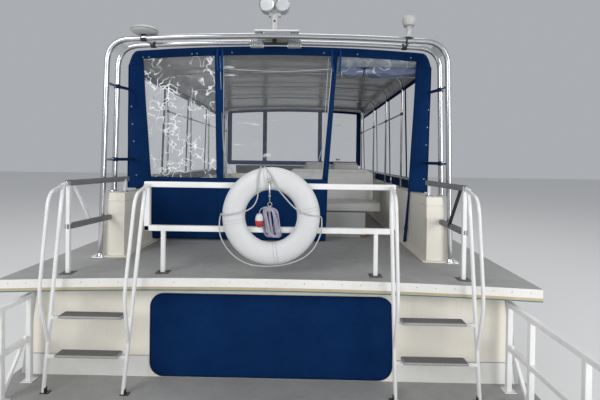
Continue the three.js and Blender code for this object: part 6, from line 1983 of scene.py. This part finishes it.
class HOUSEBOAT_OT_fittings(PieceOperator, bpy.types.Operator):
    """Make the disc antenna, the searchlight, the hailer and the deck floodlights"""

    bl_idname = "houseboat.fittings"
    bl_label = "Arch fittings"

    def make(self):
        self.antenna()
        self.searchlight()
        self.hailer()
        self.floodlights()

    def saddle(self, form, x):
        top = hoop_top(x)
        clamp = ((0.0255, -0.028), (0.031, -0.028), (0.031, 0.028), (0.0255, 0.028))
        form.take(lathe(clamp, (x, ARCH_AFT_Y, top - sizes().hoop), (1, 0, 0), 24), "black_plastic")
        form.take(block((x - 0.026, ARCH_AFT_Y - 0.026, top + 0.002),
                        (x + 0.026, ARCH_AFT_Y + 0.014, top + 0.009),
                        0.002), "black_plastic")

    def antenna(self):
        form = Form()
        x = -1.230
        base = (x, ARCH_AFT_Y, hoop_top(x) - 0.004)
        form.take(lathe(((0.024, 0.004), (0.019, 0.010), (0.015, 0.012), (0.015, 0.016)), base),
                  "black_plastic")
        profile = ((0.015, 0.013), (0.052, 0.015), (0.090, 0.021), (0.113, 0.030), (0.1225, 0.040),
                   (0.124, 0.048),
                   (0.1225, 0.056), (0.116, 0.064), (0.098, 0.076), (0.068, 0.086), (0.032, 0.0912),
                   (0, 0.092))
        form.take(lathe(profile, base, steps=48), "white_plastic")
        form.take(lathe(((0.1238, 0.044), (0.1248, 0.046), (0.1238, 0.049)), base, steps=48), "dark_gap")
        self.saddle(form, x)
        form.finish("disc_antenna_shell", slot="white_plastic", replaces=("disc_antenna",), weighted=False)

    def searchlight(self):
        form = Form()
        base = (-0.028, (ARCH_AFT_Y + ARCH_FORE_Y) / 2, PLATE_TOP + 0.0005)
        form.take(lathe(((0, 0), (0.044, 0), (0.044, 0.012), (0.040, 0.018), (0.038, 0.150), (0.041, 0.156),
                         (0.041, 0.168), (0.030, 0.174), (0, 0.174)), base, steps=32), "white_plastic")
        yoke_z = base[2] + 0.160
        form.take(block((base[0] - 0.060, base[1] - 0.028, yoke_z),
                        (base[0] + 0.060, base[1] + 0.028, yoke_z + 0.040),
                        0.010, 3), "white_plastic")
        for dx in (-0.075, 0.075):
            lamp = (base[0] + dx, base[1] - 0.075, base[2] + 0.255)
            shell = ((0.066, 0.003), (0.0695, 0.000), (0.0700, 0.012), (0.069, 0.060), (0.064, 0.105),
                     (0.046, 0.136),
                     (0.020, 0.148), (0, 0.150))
            form.take(lathe(shell, lamp, (0, 1, 0), 36), "white_plastic")
            form.take(lathe(((0, 0.005), (0.040, 0.0035), (0.067, 0.003)), lamp, (0, 1, 0), 28), "lamp_glass")
            form.take(lathe(((0.060, 0.0), (0.0705, -0.001), (0.0705, 0.010)), lamp, (0, 1, 0), 28),
                      "stainless")
        form.take(block((base[0] - 0.030, base[1] - 0.040, base[2] + 0.195),
                        (base[0] + 0.030, base[1] + 0.040,
                        base[2] + 0.275), 0.012, 3), "white_plastic")
        form.take(dots([(base[0], base[1] - 0.039, base[2] + 0.110)], (0, -1, 0), 0.010, 0.002), "dark_gap")
        form.finish("searchlight_housing", body="searchlight", slot="white_plastic",
                    replaces=("searchlight",))

    def hailer(self):
        form = Form()
        x = 1.214
        base = (x, ARCH_AFT_Y, hoop_top(x) - 0.004)
        profile = ((0, 0.004), (0.050, 0.004), (0.050, 0.012), (0.034, 0.016), (0.026, 0.020),
                   (0.0235, 0.036),
                   (0.0225, 0.098), (0.034, 0.102), (0.045, 0.108), (0.056, 0.128), (0.0625, 0.150),
                   (0.064, 0.166),
                   (0.0635, 0.178), (0.058, 0.190), (0.040, 0.1955), (0, 0.197))
        form.take(lathe(profile, base, steps=40), "white_plastic")
        form.take(lathe(((0.0453, 0.106), (0.0462, 0.108), (0.0456, 0.111)), base, steps=40), "dark_gap")
        form.take(lathe(((0, 0.1965), (0.026, 0.1968), (0.030, 0.195)), base, steps=28), "dark_gap")
        self.saddle(form, x)
        form.finish("hailer_horn", slot="white_plastic", replaces=("hailer",), weighted=False)

    def floodlights(self):
        form = Form()
        z, y = CREST_Z - 0.040, ARCH_FORE_Y - 0.095
        lamps = (-0.196, 0.161)
        for x in lamps:
            form.take(block((x - 0.067, y - 0.020, z - 0.035), (x + 0.067, y + 0.030, z + 0.034), 0.006),
                      "stainless")
            form.take(block((x - 0.058, y - 0.024, z - 0.027), (x + 0.058, y - 0.018, z + 0.026), 0.003),
                      "lamp_glass")
            for i in range(6):
                rib_x = lerp(x - 0.050, x + 0.050, i / 5)
                form.take(block((rib_x - 0.0022, y - 0.030, z - 0.032),
                                (rib_x + 0.0022, y - 0.022, z + 0.031), 0.001,
                                1), "stainless")
        form.take(bar((lamps[0], y, z), (lamps[1], y, z), 0.024, 0.020, 0.003), "black_plastic")
        form.take(bar((-0.030, y, z), (-0.030, y, PLATE_LOW - 0.0005), 0.040, 0.024, 0.003), "black_plastic")
        form.finish("floodlight_pair", slot="stainless", replaces=("deck_floodlights",))


FRONT_Y = 3.400
FRONT_WALL = 0.040
SIDE_WINDOWS = ((-4.300, -2.900), (-2.600, -1.000), (-0.700, 0.900), (1.200, 2.800))
FRONT_WINDOW = (0.520, 1.750, 1.200, 1.640)
PANE = (1.190, 1.640)


def wall_x(z):
    """Outside of the leaning house side."""
    return 2.130 - 0.080 * (z - 0.940)


class HOUSEBOAT_OT_windows(PieceOperator, bpy.types.Operator):
    """Make the frames and seals of the house's windows, the door's handle and the fore hatch's trim"""

    bl_idname = "houseboat.windows"
    bl_label = "Windows and door"

    def frame_round(self, corners, width, depth, out):
        """A rounded seal at an opening, through the last three of its corners; out is the way it stands proud."""
        loop = list(corners) + list(corners[:2])
        path = eased(loop, SEAL_CORNER, 6)[8:-1]
        return tube([Vector(point) + out * depth / 2 for point in path], width / 2, 8, closed=True)

    def make(self):
        form = Form()
        for side in SIDES:
            for y0, y1 in SIDE_WINDOWS:
                low, high = PANE
                corners = [Vector((side * (wall_x(z) + 0.001), y, z)) for y, z in
                           ((y0, low), (y1, low), (y1, high), (y0, high))]
                form.take(self.frame_round(corners, 0.026, 0.004, Vector((side, 0, 0.08))), "black_plastic")
                post = (y0 + y1) / 2
                form.take(bar((side * (wall_x(low) - 0.036), post, low),
                              (side * (wall_x(high) - 0.036), post, high),
                              0.020, 0.012, 0.002), "white_tube")
            x0, x1, low, high = FRONT_WINDOW
            corners = [Vector((side * x, FRONT_Y + FRONT_WALL + 0.001, z)) for x, z in
                       ((x0, low), (x1, low), (x1, high), (x0, high))]
            form.take(self.frame_round(corners, 0.026, 0.004, Vector((0, 1, 0))), "black_plastic")
        form.finish("window_seals", slot="black_plastic", weighted=False)
        door = Form()
        face = FRONT_Y + FRONT_WALL + 0.016
        light = [Vector((x, face, z)) for x,
                 z in ((-0.200, 1.150), (0.200, 1.150), (0.200, 1.600), (-0.200, 1.600))]
        door.take(self.frame_round(light, 0.022, 0.002, Vector((0, 1, 0))), "black_plastic")
        door.take(block((0.255, face - 0.001, 0.960), (0.300, face + 0.005, 1.110), 0.003), "stainless")
        door.take(tube(eased([(0.278, face + 0.004, 1.035), (0.278, face + 0.038, 1.035),
                              (0.180, face + 0.038, 1.035)],
                             0.020), 0.008, 12), "stainless")
        door.finish("door_handle_and_seal", body="front_door", slot="stainless", weighted=False)
        lid = Form()
        lid.take(block((-0.270, 5.290, 1.1752), (0.270, 5.815, 1.1775), 0.001), "grip_band")
        lid.take(block((-0.035, 5.815, 1.1752), (0.035, 5.850, 1.183), 0.002), "stainless")
        lid.finish("fore_hatch_grip", body="foredeck_hatch", slot="deck_grip", weighted=False)


class HOUSEBOAT_OT_bow_rail(PieceOperator, bpy.types.Operator):
    """Make the rail round the foredeck"""

    bl_idname = "houseboat.bow_rail"
    bl_label = "Bow rail"

    INSET = 0.090
    HEIGHT = 0.620
    CORNERS = (3.560, 4.900, 6.000, 6.450)
    POSTS = (3.570, 4.230, 5.250, 6.220)

    def make(self):
        form = Form()
        for rise, radius in ((self.HEIGHT, 0.016), (self.HEIGHT / 2, 0.012)):
            side = []
            for y in self.CORNERS:
                x, z = sheer_at(y)
                side.append(Vector((x - self.INSET, y, z + rise)))
            port = [Vector((-p.x, p.y, p.z)) for p in reversed(side)]
            form.take(tube(eased(side + port, 0.160, 6), radius, 16), "stainless")
        for side in SIDES:
            for y in self.POSTS:
                x, z = sheer_at(y)
                x = (x - self.INSET) * side
                form.take(tube([(x, y, z + 0.006), (x, y, z + self.HEIGHT)], 0.0125, 14), "stainless")
                form.take(lathe(((0, 0.001), (0.030, 0.001), (0.030, 0.006), (0.015, 0.009), (0.0145, 0.022)),
                                (x, y, z), (0, 0, 1), 20), "stainless")
        form.finish("bow_rail_tube", slot="stainless", replaces=("bow_rail",), weighted=False)


STAGE_HALF = 60.0
LIGHTS = (
    ("key", (-8.0, -17.0, 9.0), (0.0, -4.5, 2.0), 9.0, 1150.0),
    ("fill", (9.0, -15.0, 4.5), (0.5, -4.5, 1.8), 8.0, 860.0),
    ("sky", (0.0, 2.0, 18.0), (0.0, -1.0, 1.0), 14.0, 950.0),
)
SKY = (0.92, 0.95, 1.0, 1.0)
SKY_STRENGTH = 0.44


class HOUSEBOAT_OT_stage(PieceOperator, bpy.types.Operator):
    """Make the plain floor at the waterline and the soft light"""

    bl_idname = "houseboat.stage"
    bl_label = "Stage"

    def make(self):
        part = bmesh.new()
        bmesh.ops.create_grid(part, x_segments=1, y_segments=1, size=STAGE_HALF)
        mesh = bpy.data.meshes.new("floor")
        part.to_mesh(mesh)
        part.free()
        mesh.materials.append(finish("floor_paper"))
        floor = bpy.data.objects.new("floor", mesh)
        bpy.context.scene.collection.objects.link(floor)
        for name, place, at, size, power in LIGHTS:
            data = bpy.data.lights.new(name, "AREA")
            data.shape = "DISK"
            data.size = size
            data.energy = power
            lamp = bpy.data.objects.new(name, data)
            bpy.context.scene.collection.objects.link(lamp)
            lamp.location = place
            lamp.rotation_euler = (Vector(at) - Vector(place)).to_track_quat("-Z", "Y").to_euler()
        world = bpy.data.worlds.new("studio")
        world.use_nodes = True
        background = world.node_tree.nodes["Background"]
        background.inputs["Color"].default_value = SKY
        background.inputs["Strength"].default_value = SKY_STRENGTH
        bpy.context.scene.world = world
        bpy.context.scene.view_settings.view_transform = "Standard"


# Operators in the order that they run
PIECES = (
    HOUSEBOAT_OT_camera, HOUSEBOAT_OT_finishes, HOUSEBOAT_OT_line, HOUSEBOAT_OT_ring, HOUSEBOAT_OT_hull,
    HOUSEBOAT_OT_decks, HOUSEBOAT_OT_cover, HOUSEBOAT_OT_rails, HOUSEBOAT_OT_ladders, HOUSEBOAT_OT_arch,
    HOUSEBOAT_OT_canopy, HOUSEBOAT_OT_aft_curtain, HOUSEBOAT_OT_side_curtains, HOUSEBOAT_OT_cushions,
    HOUSEBOAT_OT_helm, HOUSEBOAT_OT_fittings, HOUSEBOAT_OT_windows, HOUSEBOAT_OT_bow_rail, HOUSEBOAT_OT_stage,
)


class HOUSEBOAT_PT_pieces(bpy.types.Panel):
    """Lists the houseboat's pieces, sizes and colours"""

    bl_idname = "HOUSEBOAT_PT_pieces"
    bl_label = "Houseboat"
    bl_space_type = "VIEW_3D"
    bl_region_type = "UI"
    bl_category = "Houseboat"

    def draw(self, context):
        column = self.layout.column()
        for piece in PIECES:
            column.operator(piece.bl_idname)
        for group in (context.scene.houseboat_sizes, context.scene.houseboat_colours):
            box = self.layout.box()
            for name in group.__annotations__:
                box.prop(group, name)


CLASSES = (HouseboatSizes, HouseboatColours, *PIECES, HOUSEBOAT_PT_pieces)


def register():
    for item in CLASSES:
        bpy.utils.register_class(item)
    bpy.types.Scene.houseboat_sizes = bpy.props.PointerProperty(type=HouseboatSizes)
    bpy.types.Scene.houseboat_colours = bpy.props.PointerProperty(type=HouseboatColours)


def unregister():
    del bpy.types.Scene.houseboat_colours
    del bpy.types.Scene.houseboat_sizes
    for item in reversed(CLASSES):
        bpy.utils.unregister_class(item)


def main():
    register()
    for piece in PIECES:
        group, name = piece.bl_idname.split(".")
        getattr(getattr(bpy.ops, group), name)()


if __name__ == "__main__":
    main()
